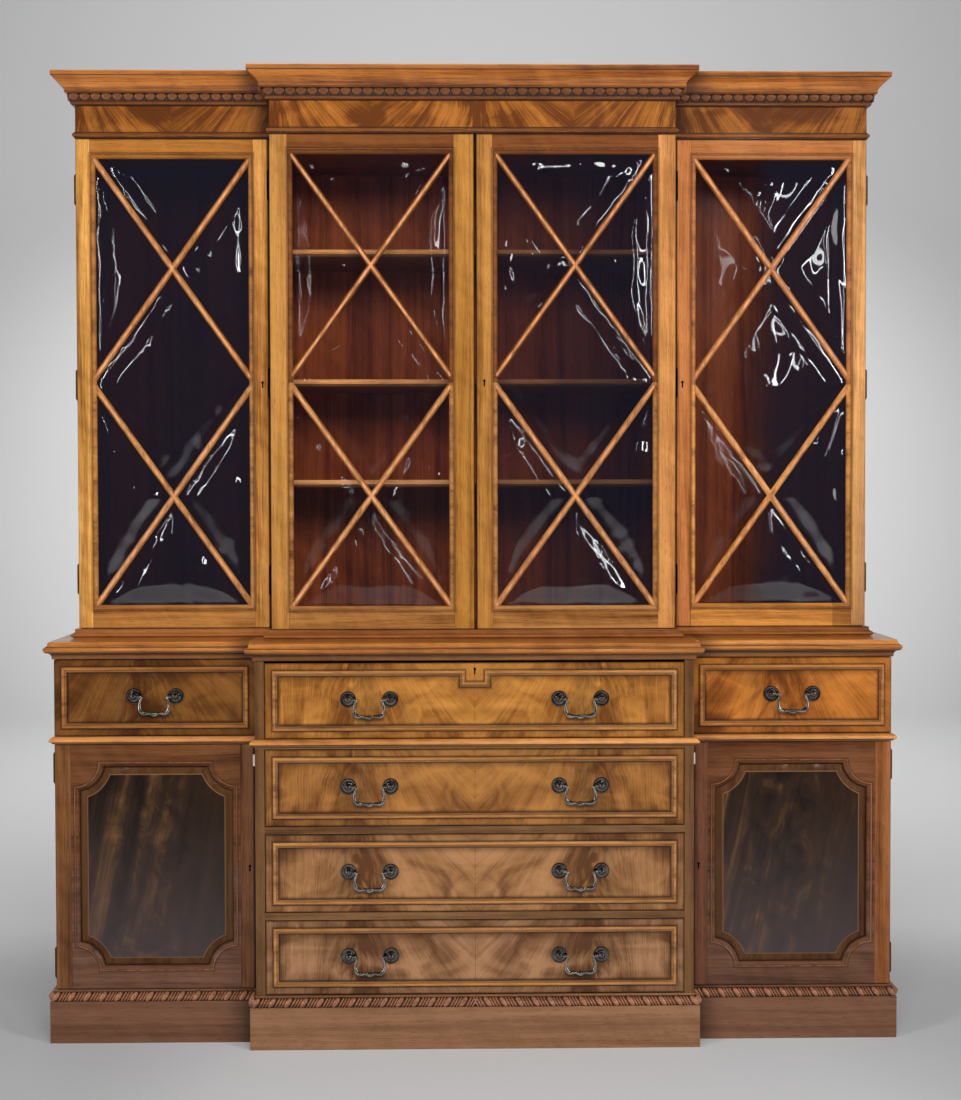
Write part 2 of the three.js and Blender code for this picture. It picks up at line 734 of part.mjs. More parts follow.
// A closed dome over a pane: upright from its foot to the sheet, then drawn in to its crown
function glassDome(corners, cx, cz, footY, sheetY) {
  const inner = insetCorners(corners);
  const middle = inner.reduce((sum, p) => sum.add(p), new THREE.Vector2()).divideScalar(inner.length);
  const rim = inner.flatMap((p, i) => {
    const between = p.clone().lerp(inner[(i + 1) % inner.length], 1 / 2);
    const pull = middle.clone().sub(between).setLength(barQuirk);
    return [p, between.add(pull)];
  });
  const place = (p, y) => new THREE.Vector3(cx + p.x, y, cz + p.y);
  const stations = [[1, footY], [1, sheetY], ...glassDomeShares.map(([share, rise]) => [share, sheetY - rise * glassBulge])];
  const loops = stations.map(([share, y]) => rim.map((p) => place(middle.clone().lerp(p, share), y)));
  return skin(loops, false, place(middle, sheetY - glassBulge));
}

// One sheet of glass, pressed forwards into a shallow dome in every pane
function glassSheet(halfWidth, halfHeight, cx, cz, faceY) {
  const x = halfWidth - (ovoloWidth - rebateLap + fitGap);
  const z = halfHeight - (ovoloWidth - rebateLap + fitGap);
  const front = faceY + rebateFace + fitGap;
  const back = front + glassThickness;
  const panes = paneOutlines(halfWidth, halfHeight);
  const domes = panes.map((corners) => glassDome(corners, cx, cz, front + glassThickness / 2, front));
  const hollows = panes.map((corners) => glassDome(corners, cx, cz, back + overrun, back));
  return cut(join([block(cx - x, cx + x, front, back, cz - z, cz + z), ...domes]), hollows);
}

// Hinge knuckles on the outer edge of a door, each with a leaf let into the door
function knuckles(edgeX, side, faceY, bottom, top, shares) {
  return shares.flatMap((share) => {
    const z = bottom + (top - bottom) * share;
    const x = edgeX + side * (knuckleRadius + fitGap);
    const barrel = new THREE.CylinderGeometry(knuckleRadius, knuckleRadius, knuckleLength, knuckleSides);
    barrel.rotateX(Math.PI / 2).translate(x, faceY + doorThickness + doorBack / 2, z);
    const leafY = faceY + doorThickness - leafThickness / 2;
    const leaf = block(edgeX - side * leafThickness, x, leafY - leafThickness, leafY,
      z - knuckleLength / 2 + fitGap, z + knuckleLength / 2 - fitGap);
    return [barrel, leaf];
  });
}

function glazedDoor(name, side, hingeX, hingeStile, freeX, lockStile, faceY, extras) {
  const outer = block(hingeX, freeX, faceY, faceY + doorThickness, glazedBottom, glazedTop);
  const openingX = [hingeX - side * hingeStile, freeX + side * lockStile];
  const openingZ = [glazedBottom + glazedBottomRail, glazedTop - glazedTopRail];
  const cx = (openingX[0] + openingX[1]) / 2;
  const cz = (openingZ[0] + openingZ[1]) / 2;
  const halfWidth = Math.abs(openingX[0] - openingX[1]) / 2;
  const halfHeight = (openingZ[1] - openingZ[0]) / 2;
  const opening = faceLoft(rectangle(halfWidth, halfHeight), [
    [-overrun / 2, -overrun],
    ...ovolo(ovoloWidth, ovoloDepth),
    [ovoloWidth, rebateFace],
    [ovoloWidth - rebateLap, rebateFace],
    [ovoloWidth - rebateLap, doorThickness + overrun],
  ], cx, cz, faceY);
  const clip = block(cx - halfWidth + barEmbed, cx + halfWidth - barEmbed, faceY, faceY + doorThickness,
    cz - halfHeight + barEmbed, cz + halfHeight - barEmbed);
  const bars = [1, -1].flatMap((up) => [1, -1].map((hand) => (
    latticeBar([-hand * halfWidth, up * halfHeight], [hand * halfWidth, 0], cx, cz, faceY)
  )));
  const barsInside = common(join(bars), clip);
  const frame = cut(outer, [opening, ...extras.cuts(cz)]);
  add(`${name}_frame`, join([frame, barsInside, ...extras.adds,
    ...knuckles(hingeX, side, faceY, glazedBottom, glazedTop, knuckleShares)]), mahogany);
  add(`${name}_glass`, glassSheet(halfWidth, halfHeight, cx, cz, faceY), bubbleGlass);
}

for (const [name, side] of [['left', -1], ['right', 1]]) {
  const freeX = side * (upperCentreHalf + breakGap);
  const keyX = freeX + side * wingLockStile / 2;
  glazedDoor(`${name}_glazed_door`, side, side * upperHalf, wingHingeStile, freeX, wingLockStile, upperWing,
    { cuts: (z) => keyhole(keyX, upperWing, z), adds: [] });
}

// The centre doors: the left one carries the meeting bead, the right one the lock
const meetingRight = meetingBead / 2 + meetingGap / 2;
const meetingLeft = meetingRight - meetingGap;
glazedDoor('centre_left_glazed_door', -1, -upperCentreHalf, centreHingeStile, meetingLeft, meetingStile + meetingBead,
  upperCentre, {
    cuts: () => [],
    adds: [block(meetingLeft - meetingBead, meetingLeft, upperCentre - meetingBeadProud, upperCentre + overrun,
      glazedBottom, glazedTop)],
  });
glazedDoor('centre_right_glazed_door', 1, upperCentreHalf, centreHingeStile, meetingRight, meetingStile, upperCentre,
  { cuts: (z) => keyhole(meetingRight + meetingStile / 2, upperCentre, z), adds: [] });

// Panelled doors of the lower cupboards

function panelledDoor(name, side) {
  const x = [side * (lowerCentreHalf + breakGap), side * lowerHalf];
  const cx = (x[0] + x[1]) / 2;
  const top = lowerDoorBottom + lowerDoorHeight;
  const cz = (lowerDoorBottom + top) / 2;
  const halfWidth = Math.abs(x[1] - x[0]) / 2 - panelStile;
  const halfHeight = lowerDoorHeight / 2 - panelRail;
  const outline = bittenRectangle(halfWidth, halfHeight, cornerRadius);
  const opening = faceLoft(outline, [
    [0, -overrun],
    ...ovolo(frameMouldWidth, frameMouldDepth),
    [frameMouldWidth, panelSeat],
    [frameMouldWidth - panelLap, panelSeat],
    [frameMouldWidth - panelLap, doorThickness + overrun],
  ], cx, cz, 0);
  add(`${name}_cupboard_door_frame`, join([
    cut(block(x[0], x[1], 0, doorThickness, lowerDoorBottom, top),
      [opening, ...keyhole(x[0] + side * panelStile * panelKeyShare, 0, cz)]),
    ...knuckles(x[1], side, 0, lowerDoorBottom, top, [knuckleShares[0], knuckleShares[2]]),
  ]), mahogany);
  add(`${name}_cupboard_door_panel`, faceLoft(outline, [
    [frameMouldWidth - panelLap + fitGap, panelSeat + fitGap + panelTongue],
    [frameMouldWidth - panelLap + fitGap, panelSeat + fitGap],
    [frameMouldWidth + fitGap, panelSeat + fitGap],
    [frameMouldWidth + 2 * fitGap, panelSeat - fitGap],
    [fieldInset - fitGap, panelSeat - panelRise + 2 * fitGap],
    [fieldInset, panelSeat - panelRise],
  ], cx, cz, 0), darkPanel);
}
panelledDoor('left', -1);
panelledDoor('right', 1);

// Handles

// A rosette with its neck and knob, let into the face behind it
function handlePost(x, z, faceY) {
  const profile = [
    [0, -glueLine * 2], [rosetteRadius, -glueLine * 2], [rosetteRadius, rosetteThickness],
    [neckRadius, rosetteThickness * 3 / 2], [knobRadius, knobStandoff], [0, knobStandoff + knobRadius],
  ];
  const lathe = new THREE.LatheGeometry(profile.map(([r, h]) => new THREE.Vector2(r, h)), turningSides);
  return lathe.rotateX(Math.PI).translate(x, faceY, z);
}

// A swan necked bail hanging from two posts, thicker at its middle collar
function bail(name, x, z, faceY) {
  const halfSpan = postSpacing / 2;
  const pin = new THREE.Vector2(halfSpan - knobRadius - fitGap, 0);
  const right = bailShares.map(([across, down]) => new THREE.Vector2(across * halfSpan, down * bailDrop));
  const half = [...right, pin];
  const route = [...half.slice(1).reverse().map((p) => new THREE.Vector2(-p.x, p.y)), ...half];
  const loops = route.map((p, i) => {
    const inside = i > 0 && i < route.length - 1;
    const tangent = inside ? route[i + 1].clone().sub(route[i - 1]).normalize() : new THREE.Vector2(1, 0);
    const radius = i === half.length - 1 ? collarRadius : bailRadius;
    return Array.from({ length: bailSides }, (_, k) => {
      const angle = (2 * Math.PI * k) / bailSides;
      const across = radius * Math.cos(angle);
      return new THREE.Vector3(
        x + p.x - tangent.y * across,
        faceY - knobStandoff + radius * Math.sin(angle),
        z + p.y + tangent.x * across,
      );
    });
  });
  add(name, skin(loops), antiqueBrass);
}

// Drawers

// Profile of the applied frame, from its outer edge
const bandProfile = [
  [0, 2 * fitGap],
  [0, -bandProud * (1 - bandStepShare)],
  [bandWidth / 4, -bandProud],
  [bandWidth / 2, -bandProud * (1 - bandStepShare)],
  [bandWidth, -bandProud / 4],
  [bandWidth, 2 * fitGap],
];

function drawerFace(x0, x1, z0, z1, faceY, thickness, outlineOf, handleXs) {
  const cx = (x0 + x1) / 2;
  const cz = (z0 + z1) / 2;
  const outline = outlineOf(Math.abs(x1 - x0) / 2 - bandInset, (z1 - z0) / 2 - bandInset);
  const posts = handleXs.flatMap((x) => [-1, 1].map((end) => (
    handlePost(x + end * postSpacing / 2, cz + postAboveMiddle, faceY)
  )));
  return join([block(x0, x1, faceY, faceY + thickness, z0, z1), faceRing(outline, bandProfile, cx, cz, faceY), ...posts]);
}

// An open box behind a front
function drawerBox(x0, x1, y0, y1, z0, z1, bottom) {
  return cut(block(x0, x1, y0, y1, z0, z1), [
    block(x0 + Math.sign(x1 - x0) * drawerSideBoard, x1 - Math.sign(x1 - x0) * drawerSideBoard,
      y0 - overrun, y1 - drawerSideBoard, z0 + bottom, z1 + overrun),
  ]);
}

const drawerBack = backFace - drawerBackSpace;
const wingBoxInner = lowerCentreHalf + drawerSide;
const wingBoxOuter = lowerInside - drawerSide;
const frontHalf = partitionInner - drawerSide;

for (const [name, side] of [['left', -1], ['right', 1]]) {
  const z0 = waistTop + doorGap;
  const z1 = topBottom - doorGap;
  const x0 = side * (lowerCentreHalf + breakGap);
  const x1 = side * lowerHalf;
  const cx = (x0 + x1) / 2;
  add(`${name}_drawer_front`, drawerFace(x0, x1, z0, z1, 0, drawerFront, rectangle, [cx]), flameVeneer);
  add(`${name}_drawer_box`, drawerBox(side * wingBoxInner, side * wingBoxOuter, drawerFront, drawerBack,
    waistTop + drawerRun, z1 - drawerHeadroom, drawerBottom), drawerLining);
  bail(`${name}_drawer_bail`, cx, (z0 + z1) / 2 + postAboveMiddle, 0);
}

const centreHandles = [['left', -centreHandleOffset], ['right', centreHandleOffset]];
const centreDrawers = [
  ['upper_centre_drawer', deepDrawerBottom, deepDrawerTop, upperRailTop],
  ['middle_centre_drawer', middleDrawerBottom, middleDrawerTop, lowerRailTop],
  ['lower_centre_drawer', lowestDrawerBottom, lowestDrawerTop, baseBoardTop],
];
for (const [name, z0, z1, runner] of centreDrawers) {
  add(`${name}_front`, drawerFace(-frontHalf, frontHalf, z0, z1, -breakDepth, drawerFront, rectangle,
    centreHandles.map(([, x]) => x)), flameVeneer);
  add(`${name}_box`, drawerBox(-frontHalf, frontHalf, drawerFront - breakDepth, drawerBack,
    runner + drawerRun, z1 - drawerHeadroom, drawerBottom), drawerLining);
  for (const [hand, x] of centreHandles) {
    bail(`${name}_bail_${hand}`, x, (z0 + z1) / 2 + postAboveMiddle, -breakDepth);
  }
}

// Desk drawer: its front is a fall, hinged at the bottom edge and held by two quadrant stays
const fallBottom = waistTop + doorGap;
const fallTop = fallBottom + deskDrawerHeight;
const fallMiddle = (fallBottom + fallTop) / 2;
const stayX = frontHalf - drawerSideBoard - drawerSide;

function quadrantStay(side) {
  const at = (angle, radius) => [-breakDepth + radius * Math.cos(angle), fallBottom + radius * Math.sin(angle)];
  const [from, to] = stayDegrees.map(THREE.MathUtils.degToRad);
  const loops = Array.from({ length: staySteps + 1 }, (_, i) => {
    const angle = from + (to - from) * (i / staySteps);
    const inner = at(angle, stayRadius - stayWidth);
    const outer = at(angle, stayRadius);
    return [
      new THREE.Vector3(side * stayX, ...inner),
      new THREE.Vector3(side * stayX, ...outer),
      new THREE.Vector3(side * (stayX - stayThickness), ...outer),
      new THREE.Vector3(side * (stayX - stayThickness), ...inner),
    ];
  });
  return skin(loops);
}

const fallFace = drawerFace(-frontHalf, frontHalf, fallBottom, fallTop, -breakDepth, deskFall, notchedRectangle,
  centreHandles.map(([, x]) => x));
add('desk_fall', cut(
  join([fallFace, quadrantStay(-1), quadrantStay(1)]),
  keyhole(0, -breakDepth, fallTop - deskKeyholeDrop),
), flameVeneer);
for (const [hand, x] of centreHandles) bail(`desk_fall_bail_${hand}`, x, fallMiddle + postAboveMiddle, -breakDepth);
add('desk_drawer_box', drawerBox(-frontHalf, frontHalf, deskFall + doorBack - breakDepth, drawerBack,
  waistTop + drawerRun, fallTop - drawerHeadroom, deskFall), drawerLining);

export default cabinet;
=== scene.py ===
import json
import math

import bmesh
import bpy
from mathutils import Matrix, Vector

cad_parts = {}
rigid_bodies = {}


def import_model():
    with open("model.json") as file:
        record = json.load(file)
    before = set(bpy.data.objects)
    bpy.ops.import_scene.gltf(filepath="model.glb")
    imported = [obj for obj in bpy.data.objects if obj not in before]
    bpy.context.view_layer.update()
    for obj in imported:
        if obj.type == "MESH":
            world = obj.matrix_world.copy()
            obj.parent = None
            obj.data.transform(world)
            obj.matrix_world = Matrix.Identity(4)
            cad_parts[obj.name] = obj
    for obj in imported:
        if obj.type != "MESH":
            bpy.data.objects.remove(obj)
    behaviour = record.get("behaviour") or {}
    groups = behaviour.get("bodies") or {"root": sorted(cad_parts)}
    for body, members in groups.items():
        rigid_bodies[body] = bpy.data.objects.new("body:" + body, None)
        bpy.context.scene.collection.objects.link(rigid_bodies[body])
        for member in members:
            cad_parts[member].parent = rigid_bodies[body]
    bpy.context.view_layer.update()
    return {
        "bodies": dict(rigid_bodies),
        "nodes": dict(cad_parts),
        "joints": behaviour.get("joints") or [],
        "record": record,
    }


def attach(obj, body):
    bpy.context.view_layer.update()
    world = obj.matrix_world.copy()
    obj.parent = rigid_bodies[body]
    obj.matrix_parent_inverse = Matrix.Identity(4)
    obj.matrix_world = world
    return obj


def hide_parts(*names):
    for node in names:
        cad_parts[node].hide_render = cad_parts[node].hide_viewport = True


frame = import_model()
nodes = frame["nodes"]

# Sizes are in millimetres, with y = 0 at the faces of the cupboard doors
MM = 0.001
SET_FORWARD = -155  # from those faces to the origin of the part
BACK = 390
LOWER = dict(half=904, centre=467.5, wing=0, front=-60)
UPPER = dict(half=872, centre=441.5, wing=115, front=55)

GLAZED_LOW, GLAZED_HIGH = 888, 1963.5
CUPBOARD_LOW, CUPBOARD_HIGH = 115, 645
CUPBOARD_INNER = 471.5
WAIST_LOW, WAIST_HIGH = 646.5, 662.5
TOP_LOW, SLAB_LOW, TOP_HIGH = 829.5, 846, 866.5
UPPER_FLOOR = 886.5
ASTRAGAL_LOW, FRIEZE_LOW, BED_LOW = 1965, 1979, 2036
EGG_LOW, CYMA_LOW, CORNICE_TOP = 2044, 2061, 2104
GADROON_LOW, GADROON_HIGH = 90, 110

# Drawers: name, left, right, bottom, top, face, handle places
CENTRE_HALF = 446
PULLS = [-224.5, 224.5]
DRAWERS = [
    ("left_drawer", -904, -471.5, 664, 828, 0, [-687.75]),
    ("right_drawer", 471.5, 904, 664, 828, 0, [687.75]),
    ("desk_fall", -CENTRE_HALF, CENTRE_HALF, 664, 824, -60, PULLS),
    ("upper_centre_drawer", -CENTRE_HALF, CENTRE_HALF, 477, 639.5, -60, PULLS),
    ("middle_centre_drawer", -CENTRE_HALF, CENTRE_HALF, 293, 458, -60, PULLS),
    ("lower_centre_drawer", -CENTRE_HALF, CENTRE_HALF, 116.5, 274, -60, PULLS),
]
BAND_INSET = 16
BAND_WIDTH = 11
NOTCH_HALF = 21
NOTCH_DEEP = 24

# Glazed doors: name, left, right, opening left, opening right, face
OPENING_LOW, OPENING_HIGH = 927.5, 1932
GLAZED = [
    ("left_glazed_door", -872, -445.5, -841, -483.5, 115),
    ("centre_left_glazed_door", -441.5, 3, -403.5, -42, 55),
    ("centre_right_glazed_door", 6, 441.5, 42, 403.5, 55),
    ("right_glazed_door", 445.5, 872, 483.5, 841, 115),
]
OVOLO = 11
OVOLO_DEEP = 7.5
REBATE = 9
BAR = 13
BAR_PROUD = 6.5

# Cupboard doors: half sizes of the opening, its middle, and the bite out of each corner
CUPBOARD_X, CUPBOARD_Z = 687.75, 380
CUPBOARD_HALF = (174.75, 226)
BITE = 53
FIELD_INSET = 27

# Sides of the case: sign of x, and name
SIDES = ((-1, "left"), (1, "right"))


def place(x, y, z):
    return Vector((x, y + SET_FORWARD, z)) * MM


# Shader maths


def operator(operation, swapped=False):
    """Method of Tone that puts one Math node on it and another value."""

    def combine(self, other):
        values = (other, self) if swapped else (self, other)
        return self.maths(operation, *values)

    return combine


class Tone:
    """A value or colour of a material. Arithmetic on it adds Math nodes."""

    def __init__(self, finish, socket):
        self.finish = finish
        self.socket = socket

    def maths(self, operation, *values):
        return self.finish.node("ShaderNodeMath", dict(operation=operation), dict(enumerate(values)))

    __add__ = __radd__ = operator("ADD")
    __mul__ = __rmul__ = operator("MULTIPLY")
    __sub__ = operator("SUBTRACT")
    __rsub__ = operator("SUBTRACT", swapped=True)
    __truediv__ = operator("DIVIDE")
    __gt__ = operator("GREATER_THAN")
    __lt__ = operator("LESS_THAN")
    least = operator("MINIMUM")
    most = operator("MAXIMUM")

    def alone(self, operation):
        return self.maths(operation, self)

    def between(self, low, high):
        return (self > low) * (self < high)

    def step(self, low, high):
        """Rises softly from 0 at low to 1 at high."""
        settings = dict(interpolation_type="SMOOTHSTEP")
        links = {"Value": self, "From Min": low, "From Max": high, "To Min": 0.0, "To Max": 1.0}
        return self.finish.node("ShaderNodeMapRange", settings, links)

    def near(self, place, width):
        """1 at a place, falling to 0 at the given distance from it."""
        return 1 - (self - place).alone("ABSOLUTE").step(0, width)


class Finish:
    """A material made of nodes, with one surface shader."""

    def __init__(self, name, roughness=0.35, metallic=0.0, coat=0.0, coat_roughness=0.1, specular=0.3):
        self.material = bpy.data.materials.new(name)
        self.material.use_nodes = True
        self.tree = self.material.node_tree
        self.shader = self.tree.nodes["Principled BSDF"]
        self.set_value("Roughness", roughness)
        self.set_value("Metallic", metallic)
        self.set_value("Coat Weight", coat)
        self.set_value("Coat Roughness", coat_roughness)
        self.set_value("Specular IOR Level", specular)
        self.here = self.node("ShaderNodeTexCoord", {}, {}, "Object")

    def node(self, kind, settings, links, output=0):
        made = self.tree.nodes.new(kind)
        for name, value in settings.items():
            if name == "stops":
                self.set_stops(made.color_ramp, value)
            else:
                setattr(made, name, value)
        for name, value in links.items():
            if isinstance(value, Tone):
                self.tree.links.new(value.socket, made.inputs[name])
            else:
                made.inputs[name].default_value = value
        return Tone(self, made.outputs[output])

    @staticmethod
    def set_stops(ramp, stops):
        while len(ramp.elements) < len(stops):
            ramp.elements.new(1.0)
        for element, (position, shade) in zip(ramp.elements, stops):
            element.position = position
            element.color = (*shade, 1)

    def set_value(self, socket, value):
        if isinstance(value, Tone):
            self.tree.links.new(value.socket, self.shader.inputs[socket])
        else:
            self.shader.inputs[socket].default_value = value

    def axes(self):
        parts = self.node("ShaderNodeSeparateXYZ", {}, {"Vector": self.here}).socket.node
        return [Tone(self, parts.outputs[i]) for i in range(3)]

    def vector(self, x, y, z):
        return self.node("ShaderNodeCombineXYZ", {}, {"X": x, "Y": y, "Z": z})

    def noise(self, at, scale=1.0, detail=2.0, roughness=0.5, distortion=0.0):
        """Noise at a vector, or at its three coordinates."""
        vector = self.vector(*at) if isinstance(at, tuple) else at
        links = {"Vector": vector, "Scale": scale, "Detail": detail}
        links.update({"Roughness": roughness, "Distortion": distortion})
        return self.node("ShaderNodeTexNoise", {}, links)

    def ramp(self, factor, stops):
        return self.node("ShaderNodeValToRGB", dict(stops=stops), {"Fac": factor})

    def mix(self, factor, first, second, blend="MIX"):
        links = {0: factor, 6: first, 7: second}
        return self.node("ShaderNodeMix", dict(data_type="RGBA", blend_type=blend), links, 2)

    def relief(self, height, distance, strength=1.0, edge=0.0):
        """Bump over edges that are rounded by the given radius."""
        links = {"Height": height, "Distance": distance, "Strength": strength}
        if edge:
            links["Normal"] = self.node("ShaderNodeBevel", dict(samples=4), {"Radius": edge})
        self.set_value("Normal", self.node("ShaderNodeBump", {}, links))


def colour(red, green, blue):
    """Linear colour from display values of 0 to 255."""
    return tuple(((v / 255 + 0.055) / 1.055) ** 2.4 for v in (red, green, blue))


def tint(red, green, blue, gain=1.4):
    """The colour that a wood pattern is multiplied by."""
    return (*(gain * c for c in colour(red, green, blue)), 1)


def opaque(red, green, blue):
    return (*colour(red, green, blue), 1)


# Wood finishes

PLAIN = [(0.3, (0.2, 0.14, 0.09)), (0.43, (0.5, 0.44, 0.36)), (0.54, (0.76, 0.73, 0.68)), (0.7, (1, 1, 0.98))]
FLAMED = [
    (0.3, (0.3, 0.23, 0.16)), (0.43, (0.55, 0.48, 0.37)), (0.54, (0.82, 0.78, 0.67)), (0.7, (1.2, 1.2, 1.1)),
]
# Dark colours: pores and dirt of the wood, also laid on as painted shade
PORE_AND_SHADE = opaque(52, 26, 14)
GRIME_AND_SHADE = opaque(30, 15, 8)
GAP_SHADE = opaque(16, 9, 6)
LOW_REFLECTION_HAZE = opaque(70, 46, 36)
PLUME_SHADE = opaque(70, 52, 28)
PANEL_REFLECTION_HAZE = opaque(96, 86, 88)
FIELD_EDGE_HIGHLIGHT = opaque(150, 112, 76)


def grained(finish, along, across, depth, tone, band=0.03, shift=0.0, contrast=1.0):
    """Straight mahogany: soft bands, fine fibre and short dark pores. Coordinates are in metres."""
    lie = finish.noise((along * 1.3, across * 3, depth * 3), detail=1.0)
    wander = (lie - 0.5) * 0.05
    broad = (along * 0.9 + shift, (across + wander) / band, depth / band)
    bands = finish.noise(broad, detail=4.0, roughness=0.62)
    fibre = finish.noise((along * 9, across * 420, depth * 420), detail=2.0, roughness=0.7)
    ripple = finish.noise((along * 26 + across * 20, across * 5, depth * 5), detail=1.0)
    value = (bands * 0.62 + fibre * 0.26 + ripple * 0.12 - 0.5) * contrast + 0.5
    body = finish.mix(1.0, finish.ramp(value, PLAIN), tone, "MULTIPLY")
    dashes = finish.noise((along * 48, across * 900, depth * 900), detail=1.0)
    pores = dashes.step(0.6, 0.72)
    return finish.mix(pores * 0.5, body, PORE_AND_SHADE), fibre, pores


def polished(finish, paint, fibre, pores, edge=0.0012, gloss=0.3):
    finish.set_value("Base Color", paint)
    finish.set_value("Roughness", gloss + fibre * 0.14 + pores * 0.15)
    finish.relief(fibre * 0.25 - pores, 0.00012, 0.5, edge)
    return finish.material


def straight_wood(
    name, tone, grain="z", coat=0.1, band=0.03, shift=0.0, edge=0.0012, grime=(), hollow=None,
    bay=None, nook=None, contrast=1.2,
):
    """Solid wood. Places are in millimetres.

    Shade bands hold bands of height, each with its bottom, top and darkness: painted shade in creases, under
    moulds and in gaps.
    Depth shade holds the depths between which a mould is painted darker, as shade on its receding sides, and
    the depth where that ends.
    Bay holds the left, right and back of a region, and the lit tone of that region: painted light on a part
    that stands forward.
    Nook holds the place of the break and the depth from which the wings get painted shade beside it.
    """
    finish = Finish(name, coat=coat)
    x, y, z = finish.axes()
    # Painted light: a lighter tone on a region that stands forward
    if bay:
        left, right, back, lit_tone = bay
        within = x.between(left * MM, right * MM) * (y < (back + SET_FORWARD) * MM)
        tone = finish.mix(within, tone, lit_tone)
    along, across, depth = {"x": (x, z, y), "y": (y, z, x), "z": (z, x, y)}[grain]
    paint, fibre, pores = grained(finish, along, across, depth, tone, band, shift, contrast)
    # Painted shade: dark bands of height in creases, under moulds and in gaps
    for low, high, amount in grime:
        paint = finish.mix(z.between(low * MM, high * MM) * amount, paint, GRIME_AND_SHADE)
    # Painted shade: darker towards the receding sides of a mould
    if hollow:
        front, back, end = ((depth + SET_FORWARD) * MM for depth in hollow)
        paint = finish.mix(y.step(front, back) * (y < end) * 0.8, paint, GRIME_AND_SHADE)
    # Painted shade on the wings beside the break
    if nook:
        paint = finish.mix(nook_shade(x, y, *nook) * 0.6, paint, GRIME_AND_SHADE)
    return polished(finish, paint, fibre, pores, edge)


def mould_wood(name, tone, coat, grain="x", band=0.02, **options):
    """Solid wood of a mould, with closer bands."""
    return straight_wood(name, tint(*tone), grain, coat, band, **options)


def nook_shade(x, y, break_at, depth):
    """Painted shade on the wings next to the break."""
    aside = x.alone("ABSOLUTE") - break_at * MM
    beside = (1 - aside.step(0, 0.06)) * (aside > -0.002)
    return beside * y.between((depth + SET_FORWARD) * MM, 0)


def outside_box(x, z, left, right, low, high):
    """Distance outside a rectangle, negative within it, after the distances beside it and above it."""
    aside = (x - (left + right) / 2 * MM).alone("ABSOLUTE") - (right - left) / 2 * MM
    above = (z - (low + high) / 2 * MM).alone("ABSOLUTE") - (high - low) / 2 * MM
    return aside, above, aside.most(above)


def outside_bitten(x, z, opening, bite):
    """The same for a rectangle whose corners are bitten off by quarter circles."""
    aside, above, out = outside_box(x, z, *opening)
    return out.most(bite * MM - (aside * aside + above * above).alone("SQRT"))


def framed_wood(name, tones, door, joints, opening, shift, gap_x, bite=0.0):
    """Door frame: upright grain in the stiles, level grain in the rails, dirt and painted shade along the
    opening and the edges of the door, and a painted shadow in its gap.

    Tones are those of the left stile, right stile, top rail and bottom rail.
    """
    left, right, low, high = door
    left_tone, right_tone, top_tone, low_tone = (tint(*tone) for tone in tones)
    finish = Finish(name, coat=0.08, specular=0.2)
    x, y, z = finish.axes()
    rail = x.between(joints[0] * MM, joints[1] * MM)
    upper = z > (low + high) / 2 * MM
    stile_tone = finish.mix(x > (left + right) / 2 * MM, left_tone, right_tone)
    rail_tone = finish.mix(upper, low_tone, top_tone)
    stiles, fibre, pores = grained(finish, z, x, y, stile_tone, 0.035, shift, 1.3)
    rails, rail_fibre, rail_pores = grained(finish, x + upper * 0.7, z, y, rail_tone, 0.028, shift * 2, 1.3)
    paint = finish.mix(rail, stiles, rails)
    fibre = fibre + (rail_fibre - fibre) * rail
    pores = pores + (rail_pores - pores) * rail
    joint = x.near(joints[0] * MM, 0.0009).most(x.near(joints[1] * MM, 0.0009))
    paint = finish.mix(joint * 0.6, paint, GRIME_AND_SHADE)
    if bite:
        # Painted reflection: a haze towards the bottom of the cupboard doors
        paint = finish.mix((1 - z.step(low * MM, high * MM)) * 0.16, paint, LOW_REFLECTION_HAZE)
    else:
        # Painted shade: darker towards the bottom of the outer stile of the right wing
        paint = finish.mix((x > 0.8) * (1 - z.step(0.95, 1.5)) * 0.4, paint, PORE_AND_SHADE)
    # Dirt and painted shade along the edge of the opening
    out = outside_bitten(x, z, opening, bite) if bite else outside_box(x, z, *opening)[2]
    paint = finish.mix(out.near(0, 0.006) * 0.6, paint, GRIME_AND_SHADE)
    # Wear and painted shade along the edges of the door
    rim = outside_box(x, z, left, right, low, high)[2]
    paint = finish.mix(rim.step(-0.0028, 0.0) * 0.5, paint, GRIME_AND_SHADE)
    gap_reach = 9.5 if abs(gap_x) > 10 else 5.5
    gap = (x.near(gap_x * MM, gap_reach * MM) * 2.2).least(0.96)
    paint = finish.mix(gap, paint, GAP_SHADE)
    return polished(finish, paint, fibre, pores)


